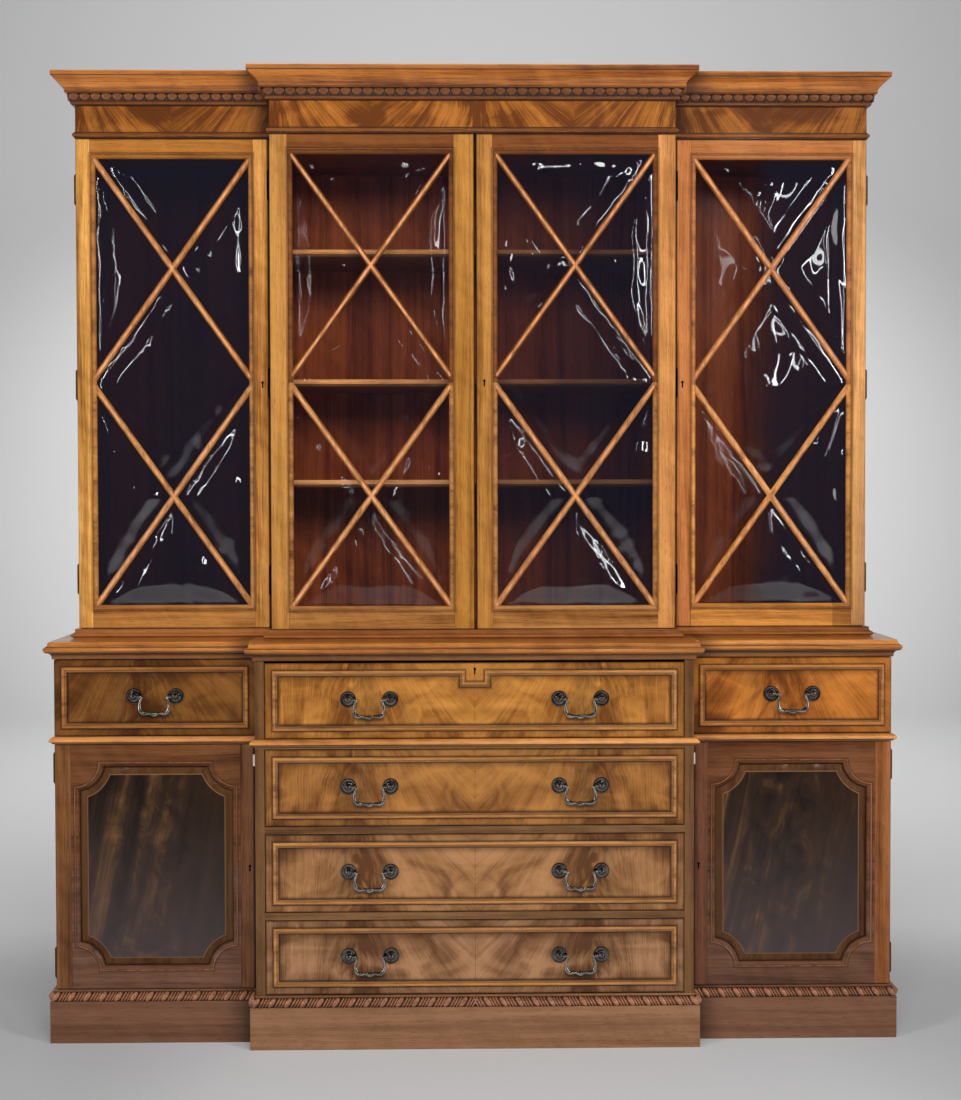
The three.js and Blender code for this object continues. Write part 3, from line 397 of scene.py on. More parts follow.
def crotch(finish, x, z, left, leaf, plume, apex, middle, seed, matched):
    """Figure of crotch veneer, laid in leaves that repeat. Its rays run up to an apex over each plume."""
    count = (x - left * MM) / (leaf * MM) + 40
    place_in_stack = count.alone("FLOOR") * 0.06 + seed
    aside = (count.alone("FRACT") - plume) * (leaf * MM)
    rays = aside * ((apex - middle) * MM) / (apex * MM - z)
    if matched:
        rays = aside + (rays - aside) * aside.step(-0.11, -0.03)
    close = 1 - aside.alone("ABSOLUTE").step(0.0, 0.1)
    turn = finish.noise((x * 7, place_in_stack, z * 9), detail=2.0, distortion=0.5) - 0.5
    across = rays + turn * (close * 0.05 + 0.012)
    broad = finish.noise((across * 15, place_in_stack, z * 2.5), detail=3.0, roughness=0.5)
    sharp = finish.noise((across * 75, place_in_stack, z * 5), detail=3.0, roughness=0.6)
    streak = finish.noise((across * 330, place_in_stack, z * 9), detail=2.0, roughness=0.65)
    lift = z * 26 + aside.alone("ABSOLUTE") * 40
    fire = finish.noise((across * 40, place_in_stack, lift), detail=3.0, distortion=0.9) - 0.5
    glow_place = (x * 10 + turn * 2, place_in_stack, z * 14)
    glow = finish.noise(glow_place, detail=3.0, distortion=0.9)
    value = broad * 0.38 + glow * 0.36 + sharp * 0.1 + streak * 0.16 + fire * (0.06 + close * 0.3)
    value = value + aside.step(0.04, 0.16) * 0.03 - close * 0.03
    return value, streak, close, across, broad


def applied_frame_dirt_and_shadow(x, z, frame, notch):
    """Dirt and painted shadow inside and outside the frame applied to a drawer."""
    left, right, low, high = frame
    out = outside_box(x, z, *frame)[2]
    if notch:
        beside = notch[0] * MM - (x - (left + right) / 2 * MM).alone("ABSOLUTE")
        out = out.most(beside.least(z - (high - notch[1]) * MM))
    beyond = out > -BAND_WIDTH / 2 * MM
    within = 1 - (-BAND_WIDTH * MM - out).step(0, 0.008)
    # Painted shadow under the top of the frame
    under = 1 - ((high - BAND_WIDTH) * MM - z).step(0, 0.018)
    return within.most(under * 0.6) * (1 - beyond) + ((1 - out.step(0, 0.005)) * 0.75 + 0.25) * beyond


def figured_wood(name, tone, leaves, seed, frame=None, rim=None, notch=None, matched=False):
    """Crotch veneer. Leaves holds the left edge, width, plume, apex and middle height of a leaf.

    Matched veneer is mirrored at the middle, with a fine seam there.
    """
    finish = Finish(name, coat=0.06, coat_roughness=0.12, specular=0.2)
    x, y, z = finish.axes()
    side = 0 - x.alone("ABSOLUTE") if matched else x
    value, streak, close, across, broad = crotch(finish, side, z, *leaves, seed, matched)
    value = (value - 0.49) * (2.0 if frame else 2.4) + 0.5 - close * 0.03
    if not frame:
        value = value + close * (1 - close) * 0.5 - (1 - close) * 0.08 - 0.05 + (streak - 0.5) * 0.4
    paint = finish.mix(1.0, finish.ramp(value, FLAMED), tone, "MULTIPLY")
    paint = finish.mix(close * broad.step(0.46, 0.62) * (0.5 if frame else 0.3), paint, PLUME_SHADE)
    if not frame:
        # Painted shade on the wings of the frieze beside the break
        paint = finish.mix(nook_shade(x, y, UPPER["centre"], 100) * 0.7, paint, GRIME_AND_SHADE)
        paint = finish.mix((x.alone("ABSOLUTE") > 0.46) * 0.22, paint, PORE_AND_SHADE)
    pores = finish.noise((across * 850, seed, z * 60), detail=1.0).step(0.6, 0.74)
    paint = finish.mix(pores * 0.4, paint, PORE_AND_SHADE)
    if matched:
        paint = finish.mix(x.near(0.0, 0.001) * 0.55, paint, GRIME_AND_SHADE)
    # Wear and painted shade of the gaps: the edges of the front are darker
    if rim:
        paint = finish.mix(outside_box(x, z, *rim)[2].step(-0.004, 0.0) * 0.6, paint, GRIME_AND_SHADE)
    # Dirt and painted shadow round the applied frame
    if frame:
        paint = finish.mix(applied_frame_dirt_and_shadow(x, z, frame, notch) * 0.8, paint, GRIME_AND_SHADE)
    return polished(finish, paint, streak, pores, gloss=0.32)


def panel_wood(name, opening, seed):
    """Fielded panel: a dark crotch figure within a margin of straight wood."""
    left, right, low, high = opening
    middle_x = (left + right) / 2
    finish = Finish(name, coat=0.1, coat_roughness=0.07, specular=0.15)
    x, y, z = finish.axes()
    lean = x - middle_x * MM - (z - (low + high) / 2 * MM) * 0.2
    rays = finish.noise((lean * 30, seed, z * 2), detail=3.0, roughness=0.55, distortion=0.3)
    fibre = finish.noise((lean * 330, seed, z * 9), detail=2.0, roughness=0.65)
    curls = finish.noise((x * 13, seed, z * 10), detail=3.0, distortion=2.2) - 0.5
    bright = 1 - (lean + 0.02).step(-0.04, 0.04)
    feathers = (x - middle_x * MM + 0.02).alone("ABSOLUTE")
    value = (rays - 0.5) * (bright * 0.7 + 0.4) + 0.44 + bright * 0.03 + (fibre - 0.5) * 0.16
    value = value + curls * ((1 - feathers.step(0.03, 0.12)) * 0.55 + 0.2)
    dark, brown, tan, gold = (colour(*c) for c in ((24, 14, 8), (46, 29, 17), (74, 50, 27), (126, 88, 44)))
    field = finish.ramp(value, [(0.3, dark), (0.5, brown), (0.62, tan), (0.84, gold)])
    # Painted reflection: a pale haze over the lower part of the field
    reflection_haze = 1 - z.step((low - 80) * MM, (high - 60) * MM)
    field = finish.mix(reflection_haze * 0.42, field, PANEL_REFLECTION_HAZE)
    margin = grained(finish, z, x, y, tint(84, 55, 32), 0.02, seed)[0]
    out = outside_bitten(x, z, opening, BITE)
    inset = FIELD_INSET * MM
    paint = finish.mix(out.step(-inset - 0.0006, -inset + 0.0006), field, margin)
    # Painted highlight along the edge of the raised field
    paint = finish.mix(out.near(-inset, 0.0018) * 0.6, paint, FIELD_EDGE_HIGHLIGHT)
    # Painted shade on the margin beside the shaped mould
    paint = finish.mix(out.step(-0.014, -0.009) * 0.6, paint, GRIME_AND_SHADE)
    finish.set_value("Base Color", paint)
    finish.set_value("Roughness", 0.28 + fibre * 0.12)
    finish.relief(fibre, 0.0001, 0.4, 0.001)
    return finish.material


def metal(name, base, worn, roughness):
    """Metal that is mottled between a base colour and a worn one."""
    finish = Finish(name, roughness=roughness, metallic=1.0)
    spots = finish.noise(finish.here, scale=420, detail=3.0, roughness=0.6)
    broad = finish.noise(finish.here, scale=70, detail=2.0)
    value = spots * 0.5 + broad * 0.5
    finish.set_value("Base Color", finish.ramp(value, [(0.35, colour(*base)), (0.65, colour(*worn))]))
    finish.set_value("Roughness", roughness + (spots - 0.5) * 0.25)
    finish.relief(spots, 0.0002, 0.3)
    return finish.material


def glass(name, shade_left, shade_right, middle):
    """Thin dark glass with slow waves, which reflects sharply. Its alpha lays painted shade over what is
    behind it: clearer where that shade is low.
    """
    finish = Finish(name, roughness=0.02, coat=1.0, coat_roughness=0.02, specular=0.8)
    finish.set_value("Base Color", (0.007, 0.006, 0.015, 1))
    finish.set_value("IOR", 1.6)
    x, y, z = finish.axes()
    cloud = finish.noise((x * 7, y, z * 4), detail=2.0) - 0.5
    # Painted shade over the inside, changing from the left to the right of the door
    side = (x - middle * MM + cloud * 0.12).step(-0.05, 0.05)
    finish.set_value("Alpha", side * (shade_right - shade_left) + shade_left)
    waves = finish.noise((x * 9, y, z * 6), detail=1.0, distortion=1.4)
    draws = finish.noise((x * 30, y, z * 10), detail=1.0, distortion=0.6)
    finish.relief(waves + draws * 0.05, 0.01, 0.6)
    return finish.material


# Modelling


def deselect():
    if bpy.context.mode != "OBJECT":
        bpy.ops.object.mode_set(mode="OBJECT")
    bpy.ops.object.select_all(action="DESELECT")


def pick(pieces):
    """Selects pieces and makes the first of them active."""
    deselect()
    for piece in pieces:
        piece.select_set(True)
    bpy.context.view_layer.objects.active = pieces[0]


def dress(piece, finish):
    piece.data.materials.clear()
    piece.data.materials.append(finish)


def name_piece(name, finish, body, slot=None, node=None):
    """Names the active piece, dresses it and attaches it to its body, hiding the node that it replaces. The
    slot is not used.
    """
    piece = bpy.context.object
    piece.name = name
    piece.data.name = name
    dress(piece, finish)
    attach(piece, body)
    if node:
        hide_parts(node)


def apply_place():
    bpy.ops.object.transform_apply(location=True, rotation=True, scale=True)


def smooth(degrees=35):
    bpy.ops.object.shade_smooth_by_angle(angle=math.radians(degrees))


def turn_outwards():
    """Turns every face of the active piece outwards."""
    bpy.ops.object.mode_set(mode="EDIT")
    bpy.ops.mesh.select_all(action="SELECT")
    bpy.ops.mesh.normals_make_consistent(inside=False)
    bpy.ops.object.mode_set(mode="OBJECT")


def apply_modifier(name, kind, **settings):
    modifier = bpy.context.object.modifiers.new(name, kind)
    for setting, value in settings.items():
        setattr(modifier, setting, value)
    bpy.ops.object.modifier_apply(modifier=name)


def reshape(piece, form):
    """Moves each point of a piece to the place in millimetres that the form gives for it."""
    for vertex in piece.data.vertices:
        vertex.co = Vector(form(*vertex.co)) * MM


def sweep(rings, closed=False):
    """Extrudes a section from ring to ring. Each ring is the list of its points in metres."""
    deselect()
    fill = "NOTHING" if closed else "NGON"
    bpy.ops.mesh.primitive_circle_add(vertices=len(rings[0]), radius=MM, fill_type=fill)
    piece = bpy.context.object
    for vertex, point in zip(piece.data.vertices, rings[0]):
        vertex.co = point
    bpy.ops.object.mode_set(mode="EDIT")
    bpy.ops.mesh.select_all(action="SELECT")
    mesh = bmesh.from_edit_mesh(piece.data)
    moving = list(mesh.verts)
    stops = rings[1:] + (rings[:1] if closed else [])
    for ring in stops:
        before = {tuple(round(c, 7) for c in vertex.co): i for i, vertex in enumerate(moving)}
        if closed:
            bpy.ops.mesh.extrude_edges_move()
        else:
            bpy.ops.mesh.extrude_region_move()
        mesh = bmesh.from_edit_mesh(piece.data)
        fresh = [vertex for vertex in mesh.verts if vertex.select]
        moving = [None] * len(ring)
        for vertex in fresh:
            moving[before[tuple(round(c, 7) for c in vertex.co)]] = vertex
        for vertex, point in zip(moving, ring):
            vertex.co = point
        bmesh.update_edit_mesh(piece.data)
    bpy.ops.mesh.select_all(action="SELECT")
    bpy.ops.mesh.remove_doubles(threshold=MM / 50)
    bpy.ops.mesh.normals_make_consistent(inside=False)
    bpy.ops.object.mode_set(mode="OBJECT")
    smooth()
    return piece


def box_piece(low, high, bevel):
    """A board between two corners, with its edges eased."""
    deselect()
    low, high = Vector(low), Vector(high)
    bpy.ops.mesh.primitive_cube_add(size=1, location=place(*((low + high) / 2)), scale=(high - low) * MM)
    apply_place()
    apply_modifier("easing", "BEVEL", width=bevel * MM, segments=2)
    smooth()


def join_pieces(pieces):
    pick(pieces)
    bpy.ops.object.join()
    return bpy.context.object


def copy_piece(piece, offset):
    pick([piece])
    bpy.ops.object.duplicate()
    bpy.context.object.parent = None
    bpy.ops.transform.translate(value=Vector(offset) * MM)
    apply_place()
    return bpy.context.object


def plan_line(half, centre, wing, front, back=BACK):
    """Corners of the case in plan, moved outwards by d."""

    def line(d):
        right = [(centre + d, front - d), (centre + d, wing - d), (half + d, wing - d), (half + d, back)]
        return [(-x, y) for x, y in reversed(right)] + right

    return line


def moulding(line, profile):
    """A mould along the sides and front of the case, mitred at each corner."""
    stops = len(line(0))
    sweep([[place(*line(d)[i], z) for d, z in profile] for i in range(stops)])


def moulded_board(line, profile):
    """A whole board with a moulded edge: the outline of the board at each height of the profile."""
    sweep([[place(x, y, z) for x, y in line(d)] for d, z in profile])


def mitred(rings):
    """A mould that closes on itself. Each ring follows one point of its profile."""
    sweep([[ring[i] for ring in rings] for i in range(len(rings[0]))], closed=True)


def circle_angles(sides):
    return [2 * math.pi * k / sides for k in range(sides)]


def arc(from_point, to_point, bulge, steps):
    """Points between two places on a bow, which swells to the left by a share of its length."""
    a, b = Vector(from_point), Vector(to_point)
    across = Vector((a.y - b.y, b.x - a.x))
    points = []
    for i in range(steps + 1):
        t = i / steps
        points.append(a.lerp(b, t) + across * bulge * 4 * t * (1 - t))
    return [tuple(p) for p in points]


# Finishes

# Painted shade in the gaps along the edges of the rails
RAIL_EDGES = [(z - 1.6, z + 1.6, 0.8) for z in (274, 293, 458, 477, 639.5, 664)]
upright_wood = straight_wood("mahogany_upright", tint(108, 74, 42), "z", shift=0.3)
# Painted light on the forward centre of the plinth and base board, and painted shade on the wings beside the
# break
level_wood = straight_wood(
    "mahogany_level", tint(118, 82, 62), "x", nook=(LOWER["centre"] + 12, -40), contrast=0.7,
    bay=(-LOWER["centre"] - 30, LOWER["centre"] + 30, -30, tint(140, 102, 74)),
)
rail_wood = straight_wood("mahogany_rails", tint(116, 82, 48), "x", grime=RAIL_EDGES)
side_wood = straight_wood("mahogany_sides", tint(150, 100, 56), "z", band=0.05)
# Painted shade on the cornice: dark bands at the foot of the cyma and under and on its top fillet, and beside
# the break
cornice_wood = mould_wood(
    "cornice_mahogany", (194, 121, 56), 0.4, nook=(UPPER["centre"] + 30, 55), contrast=1.5,
    grime=(
        (CYMA_LOW - 1, CYMA_LOW + 4, 0.7), (CYMA_LOW + 4, CYMA_LOW + 11, 0.3),
        (CORNICE_TOP - 11.6, CORNICE_TOP - 9.6, 0.8), (CORNICE_TOP - 9.6, CORNICE_TOP - 1.6, 0.42),
    ),
)
crown_wood = mould_wood("crown_mahogany", (150, 94, 50), 0.3)
# Painted shade along the foot of the astragal and along its top, under the frieze
astragal_wood = mould_wood(
    "astragal_mahogany", (122, 74, 36), 0.6,
    grime=((ASTRAGAL_LOW - 1, ASTRAGAL_LOW + 4, 0.75), (FRIEZE_LOW - 3, FRIEZE_LOW + 0.5, 0.7)),
)
# Painted shade under the slab of the top, in a crease of its edge, and beside the break
top_wood = mould_wood(
    "top_mahogany", (184, 120, 60), 0.4, nook=(LOWER["centre"] + 18, -50),
    grime=((TOP_LOW, SLAB_LOW + 0.6, 0.62), (SLAB_LOW + 8.8, SLAB_LOW + 10.2, 0.7)),
)
# Painted shade along the foot of the waist mould
waist_wood = mould_wood(
    "waist_mahogany", (208, 142, 82), 0.5, grime=((WAIST_LOW - 1, WAIST_LOW + 4.5, 0.65),)
)
# Painted shade: these moulds grow darker towards their receding sides
side_frame_wood = mould_wood("side_frame_moulding", (170, 112, 56), 0.4, hollow=(-5, -1, 9))
centre_frame_wood = mould_wood("centre_frame_moulding", (172, 120, 68), 0.4, hollow=(-65, -61, -50))
door_mould_wood = mould_wood("door_moulding", (132, 84, 50), 0.5, "z", 0.015, hollow=(0, 8, 20))
bar_woods = {}
ovolo_woods = {}
# Painted shade: lattice bars and ovolos grow darker towards their receding sides
for bay, face in (("wing", UPPER["wing"]), ("centre", UPPER["front"])):
    hollow = (face + 1.9, face + 5.4, face + 8.9)
    bar_woods[face] = mould_wood(bay + "_lattice", (212, 146, 98), 1.0, "z", 0.015, hollow=hollow)
    hollow = (face, face + 7, face + 8.9)
    ovolo_woods[face] = mould_wood(bay + "_ovolo", (170, 108, 58), 0.6, "z", 0.015, hollow=hollow)
carved_wood = mould_wood("carved_mahogany", (152, 102, 74), 1.0, edge=0.0)
# Painted shade at the foot of the eggs, in the ground between the carvings, and at the foot of the bed mould
egg_wood = mould_wood("egg_carving", (104, 62, 33), 0.35, edge=0.0, grime=((EGG_LOW, EGG_LOW + 3, 0.4),))
ground_wood = mould_wood(
    "carving_ground", (108, 64, 34), 0.3, edge=0.0,
    grime=((EGG_LOW, CYMA_LOW, 0.85), (BED_LOW - 1, BED_LOW + 2, 0.6), (GADROON_LOW, GADROON_HIGH, 0.85)),
)
inner_wood = straight_wood("inner_mahogany", tint(110, 54, 32), band=0.04)
back_wood = straight_wood("back_board_mahogany", tint(156, 80, 42))
# Painted shade: a dark band along each shelf
shelf_wood = straight_wood(
    "shelf_mahogany", tint(232, 164, 104), "x", coat=0.2,
    grime=((1198, 1205, 0.85), (1420, 1427, 0.85), (1705, 1712.5, 0.85)),
)
lining_wood = straight_wood("drawer_lining", tint(156, 122, 84), "y", coat=0.0, band=0.05)
frieze_wood = figured_wood("frieze_veneer", tint(142, 86, 32), (-220.75, 441.5, 0.5, 2157, 2007), 3.1)
dark_brass = metal("dark_brass", (58, 55, 54), (128, 122, 116), 0.2)
worn_brass = metal("worn_brass", (92, 88, 84), (190, 184, 174), 0.18)
lock_iron = metal("lock_iron", (14, 12, 10), (30, 26, 22), 0.6)
hinge_brass = metal("hinge_brass", (54, 36, 20), (96, 68, 40), 0.45)

CAD_FINISHES = {
    upright_wood: ["lower_partition_left", "lower_partition_right"],
    level_wood: ["plinth", "base_board"],
    rail_wood: ["drawer_rail_upper", "drawer_rail_lower", "waist_board"],
    side_wood: ["lower_side_left", "lower_side_right", "upper_side_left", "upper_side_right"],
    back_wood: ["upper_back", "lower_back"],
    inner_wood: ["upper_partition_left", "upper_partition_right", "upper_top_board"],
    shelf_wood: ["shelf_bottom", "shelf_middle", "shelf_top"],
    lining_wood: [
        "left_drawer_box", "right_drawer_box", "desk_drawer_box", "upper_centre_drawer_box",
        "middle_centre_drawer_box", "lower_centre_drawer_box",
    ],
    frieze_wood: ["frieze"],
}
for finish, names in CAD_FINISHES.items():
    for name in names:
        dress(nodes[name], finish)

# Each glazed door: tones of its left stile, right stile, top rail and bottom rail,
# the place of its dark gap, and how much painted shade its glass lays over the inside at the left and right
GLAZED_LOOKS = [
    (((224, 166, 88), (222, 158, 84), (162, 105, 44), (174, 120, 62)), -CENTRE_HALF, (0.56, 0.6)),
    (((178, 126, 64), (168, 116, 51), (116, 68, 30), (170, 118, 66)), 4.5, (0.1, 0.18)),
    (((176, 123, 60), (193, 133, 75), (120, 70, 32), (170, 118, 66)), 4.5, (0.34, 0.44)),
    (((194, 122, 68), (212, 156, 98), (174, 109, 58), (208, 142, 70)), CENTRE_HALF, (0.12, 0.62)),
]
for i, (door, look) in enumerate(zip(GLAZED, GLAZED_LOOKS)):
    name, left, right, *joints = door[:5]
    tones, gap_x = look[:2]
    opening = (*joints, OPENING_LOW, OPENING_HIGH)
    edges = (left, right, GLAZED_LOW, GLAZED_HIGH)
    dress(nodes[name + "_frame"], framed_wood(name + "_wood", tones, edges, joints, opening, i * 0.31, gap_x))


def cupboard_opening(side):
    x, z = side * CUPBOARD_X, CUPBOARD_Z
    return x - CUPBOARD_HALF[0], x + CUPBOARD_HALF[0], z - CUPBOARD_HALF[1], z + CUPBOARD_HALF[1]


CUPBOARD_TONES = {
    -1: ((124, 82, 46), (116, 76, 48), (106, 66, 36), (108, 76, 61)),
    1: ((110, 68, 46), (142, 88, 48), (108, 66, 38), (108, 76, 60)),
}
STILE = 34
panel_finishes = {}
for side, hand in SIDES:
    name = hand + "_cupboard_door"
    left, right = sorted((side * CUPBOARD_INNER, side * LOWER["half"]))
    finish = framed_wood(
        name + "_wood", CUPBOARD_TONES[side], (left, right, CUPBOARD_LOW, CUPBOARD_HIGH),
        (left + STILE, right - STILE), cupboard_opening(side), side * 0.4, side * CUPBOARD_INNER, BITE,
    )
    dress(nodes[name + "_frame"], finish)
    panel_finishes[side] = panel_wood(name + "_veneer", cupboard_opening(side), 2.3 + side)


def band_edges(left, right, low, high):
    """Left, right, bottom and top of the frame applied to a drawer."""
    return left + BAND_INSET, right - BAND_INSET, low + BAND_INSET, high - BAND_INSET


DRAWER_TONES = {
    "left_drawer": (108, 69, 29),
    "right_drawer": (154, 93, 37),
    "desk_fall": (157, 105, 48),
    "upper_centre_drawer": (138, 92, 47),
    "middle_centre_drawer": (138, 98, 65),
    "lower_centre_drawer": (132, 96, 70),
}
for name, left, right, low, high, face, handles in DRAWERS:
    node = name if name == "desk_fall" else name + "_front"
    middle = (low + high) / 2
    wide = len(handles) == 2
    leaves = (-CENTRE_HALF, CENTRE_HALF, 0.44, high + 160, middle)
    if not wide:
        leaves = (left, right - left, 0.42, high + 120, middle)
    notch = (NOTCH_HALF, NOTCH_DEEP) if name == "desk_fall" else None
    finish = figured_wood(
        name + "_veneer", tint(*DRAWER_TONES[name]), leaves, 1.7 if wide else left / 400,
        band_edges(left, right, low, high), (left, right, low, high), notch, wide,
    )
    dress(nodes[node], finish)

# Mouldings of the case

upper_line = plan_line(**UPPER)
lower_line = plan_line(**LOWER)

cornice_profile = [
    (0.3, CYMA_LOW), (18.5, CYMA_LOW), (19.6, CYMA_LOW + 1.2), (19.9, CYMA_LOW + 2.8), (19.2, CYMA_LOW + 4),
    (20, CYMA_LOW + 7), (21.4, CYMA_LOW + 10.5), (23.6, CYMA_LOW + 14), (26.6, CYMA_LOW + 17.5),
    (30.4, CYMA_LOW + 21), (34.6, CYMA_LOW + 24.4), (39, CYMA_LOW + 27.8), (42.6, CYMA_LOW + 30.8),
    (43.4, CYMA_LOW + 31.6), (43.6, CYMA_LOW + 32.6), (45, CYMA_LOW + 32.8), (45, CORNICE_TOP),
    (0.3, CORNICE_TOP),
]
bed_profile = [
    (0.3, BED_LOW), (5, BED_LOW), *arc((5.5, BED_LOW + 0.5), (7.5, BED_LOW + 6.5), -0.3, 5),
    (7.5, EGG_LOW), (9, EGG_LOW + 2), (11.5, EGG_LOW + 10), (13.5, CYMA_LOW), (0.3, CYMA_LOW),
]
top_profile = [
    (0, TOP_LOW), (3, TOP_LOW), *arc((4, TOP_LOW + 1), (12, SLAB_LOW - 3), 0.2, 8), (16, SLAB_LOW - 2.5),
    (17, SLAB_LOW), (17.6, SLAB_LOW + 0.2), *arc((17.9, SLAB_LOW + 0.6), (17.9, SLAB_LOW + 9), -0.24, 10),
    *arc((17, SLAB_LOW + 9.6), (11.6, SLAB_LOW + 17), 0.16, 6), (11, SLAB_LOW + 17.4), (11, TOP_HIGH - 0.6),
    (10.4, TOP_HIGH),
]
base_profile = [
    (11, TOP_HIGH), (12, TOP_HIGH + 2), *arc((14, TOP_HIGH + 2.6), (14, TOP_HIGH + 9.4), -0.4, 8),
    (12.6, TOP_HIGH + 10), *arc((12, TOP_HIGH + 10.5), (8, TOP_HIGH + 18), 0.2, 6), (8, UPPER_FLOOR),
]
waist_profile = [
    (0.2, WAIST_LOW), (4, WAIST_LOW), (5, WAIST_LOW + 2.4),
    *arc((6, WAIST_LOW + 3), (8.5, WAIST_LOW + 12), -0.42, 10), (4, WAIST_HIGH - 1), (0.2, WAIST_HIGH),
]
astragal_profile = [
    (0.3, ASTRAGAL_LOW), (2, ASTRAGAL_LOW), (2, ASTRAGAL_LOW + 1.5),
    *arc((2, ASTRAGAL_LOW + 2), (2, FRIEZE_LOW - 2), -0.45, 10), (2, FRIEZE_LOW - 1.5), (2, FRIEZE_LOW),
    (0.3, FRIEZE_LOW),
]
MOULDINGS = [
    ("cornice_crown", moulding, upper_line, cornice_profile, cornice_wood, "red_mahogany", "cornice"),
    ("bed_mould", moulding, upper_line, bed_profile, ground_wood, "red_mahogany", "egg_and_dart_mould"),
    ("moulded_top", moulded_board, lower_line, top_profile, top_wood, "mahogany", "lower_top"),
    ("upper_base_mould", moulded_board, upper_line, base_profile, crown_wood, "red_mahogany", "upper_base"),
    ("waist_moulding", moulding, lower_line, waist_profile, waist_wood, "mahogany", "waist_mould"),
    ("astragal", moulding, upper_line, astragal_profile, astragal_wood, "red_mahogany", None),
]
for name, build, line, profile, finish, slot, node in MOULDINGS:
    build(line, profile)
    name_piece(name, finish, "case", slot, node)

# Glazed doors: mould round the opening, lattice bars and glass


def ring_points(left, right, low, high, d, y):
    x0, x1, z0, z1 = left + d, right - d, low + d, high - d
    return [place(x0, y, z0), place(x1, y, z0), place(x1, y, z1), place(x0, y, z1)]


def opening_mould(left, right, low, high, face, profile):
    """A mitred mould round a rectangle. The profile runs across the mould from the edge of the opening."""
    mitred([ring_points(left, right, low, high, d, face + y) for d, y in profile])


ovolo_profile = [
    (0, 0.5), (-0.2, -0.15), *arc((0.6, -0.25), (OVOLO + 0.2, OVOLO_DEEP), 0.18, 8), (OVOLO + 0.2, REBATE),
    (0, REBATE),
]


def lattice_bar(start, end, face):
    """A half round bar along a line of the door, mitred level at its ends."""
    (x0, z0), (x1, z1) = start, end
    run = Vector((x1 - x0, z1 - z0)).normalized()
    angles = [math.pi * k / 10 for k in range(11)]
    crown = [(-0.78 * math.cos(a), 0.42 + 0.6 * math.sin(a)) for a in angles]
    section = [(-1, 0), (-1, 0.42), *crown, (1, 0.42), (1, 0)]
    rings = []
    for x, z in (start, end):
        rings.append([
            place(x - run.y * s * BAR / 2, face + REBATE - (BAR_PROUD + 0.2) * h, z + run.x * s * BAR / 2)
            for s, h in section
        ])
    return sweep(rings)


def bar_lines(left, right, low, high):
    """Both ends of the four bars, which run a little way under the mould."""
    middle = (low + high) / 2
    under = 8
    for z in (high, low):
        for hand in (-1, 1):
            near, far = (left, right) if hand == -1 else (right, left)
            slope = (middle - z) / (far - near)
            start = (near - hand * under, z - hand * under * slope)
            yield start, (far + hand * under, middle + hand * under * slope)


DOME_REACH = 48
DOME_RISE = 7.4
PANE_THICK = 2.6
PANE_MARGIN = 8
PANE_CELLS = (60, 150)


def bulge(x, z, lines, left, right, low, high):
    """How far the glass stands forward: not at the bars and the frame, most in the middle of a pane."""
    room = min(x - left, right - x, z - low, high - z) - OVOLO
    for (x0, z0), (x1, z1) in lines:
        run = Vector((x1 - x0, z1 - z0)).normalized()
        room = min(room, abs((x - x0) * run.y - (z - z0) * run.x) - BAR / 2)
    share = max(0.0, min(1.0, room / DOME_REACH))
    dome = 0.5 - 0.5 * math.cos(math.pi * share)
    ripple = 0.6 * math.sin(x * 0.043 + z * 0.021) + 0.5 * math.sin(z * 0.061 - x * 0.033)
    return dome * (DOME_RISE + ripple)


for door, look in zip(GLAZED, GLAZED_LOOKS):
    name = door[0]
    left, right, face = door[3:]
    opening_mould(left, right, OPENING_LOW, OPENING_HIGH, face, ovolo_profile)
    name_piece(name + "_ovolo", ovolo_woods[face], name, "mahogany")
    lines = list(bar_lines(left, right, OPENING_LOW, OPENING_HIGH))
    join_pieces([lattice_bar(start, end, face) for start, end in lines])
    name_piece(name + "_lattice", bar_woods[face], name, "mahogany")
    deselect()
    wide, tall = right - left - PANE_MARGIN, OPENING_HIGH - OPENING_LOW - PANE_MARGIN
    bpy.ops.mesh.primitive_grid_add(x_subdivisions=PANE_CELLS[0], y_subdivisions=PANE_CELLS[1], size=1)
    middle_x, middle_z = (left + right) / 2, (OPENING_LOW + OPENING_HIGH) / 2
    for vertex in bpy.context.object.data.vertices:
        x = middle_x + vertex.co.x * wide
        z = middle_z + vertex.co.y * tall
        y = face + REBATE + 0.4 - bulge(x, z, lines, left, right, OPENING_LOW, OPENING_HIGH)
        vertex.co = place(x, y, z)
    apply_modifier("thickness", "SOLIDIFY", thickness=PANE_THICK * MM, offset=-1)
    turn_outwards()
    smooth(50)
    pane_glass = glass(name + "_glass", *look[2], middle_x - 20)
    name_piece(name + "_panes", pane_glass, name, "bubble_glass", name + "_glass")

# Cupboard doors: mould round the shaped opening, and the fielded panel


BITE_STEPS = 10


def bitten_ring(side, d, y):
    """The shaped outline moved inwards by d."""
    radius = BITE + d
    start = math.asin(d / radius)
    points = []
    for across, up in ((1, -1), (1, 1), (-1, 1), (-1, -1)):
        angles = [start + (math.pi / 2 - 2 * start) * k / BITE_STEPS for k in range(BITE_STEPS + 1)]
        if across != up:
            angles.reverse()
        for angle in angles:
            x = side * CUPBOARD_X + across * (CUPBOARD_HALF[0] - radius * math.sin(angle))
            z = CUPBOARD_Z + up * (CUPBOARD_HALF[1] - radius * math.cos(angle))
            points.append(place(x, y, z))
    return points


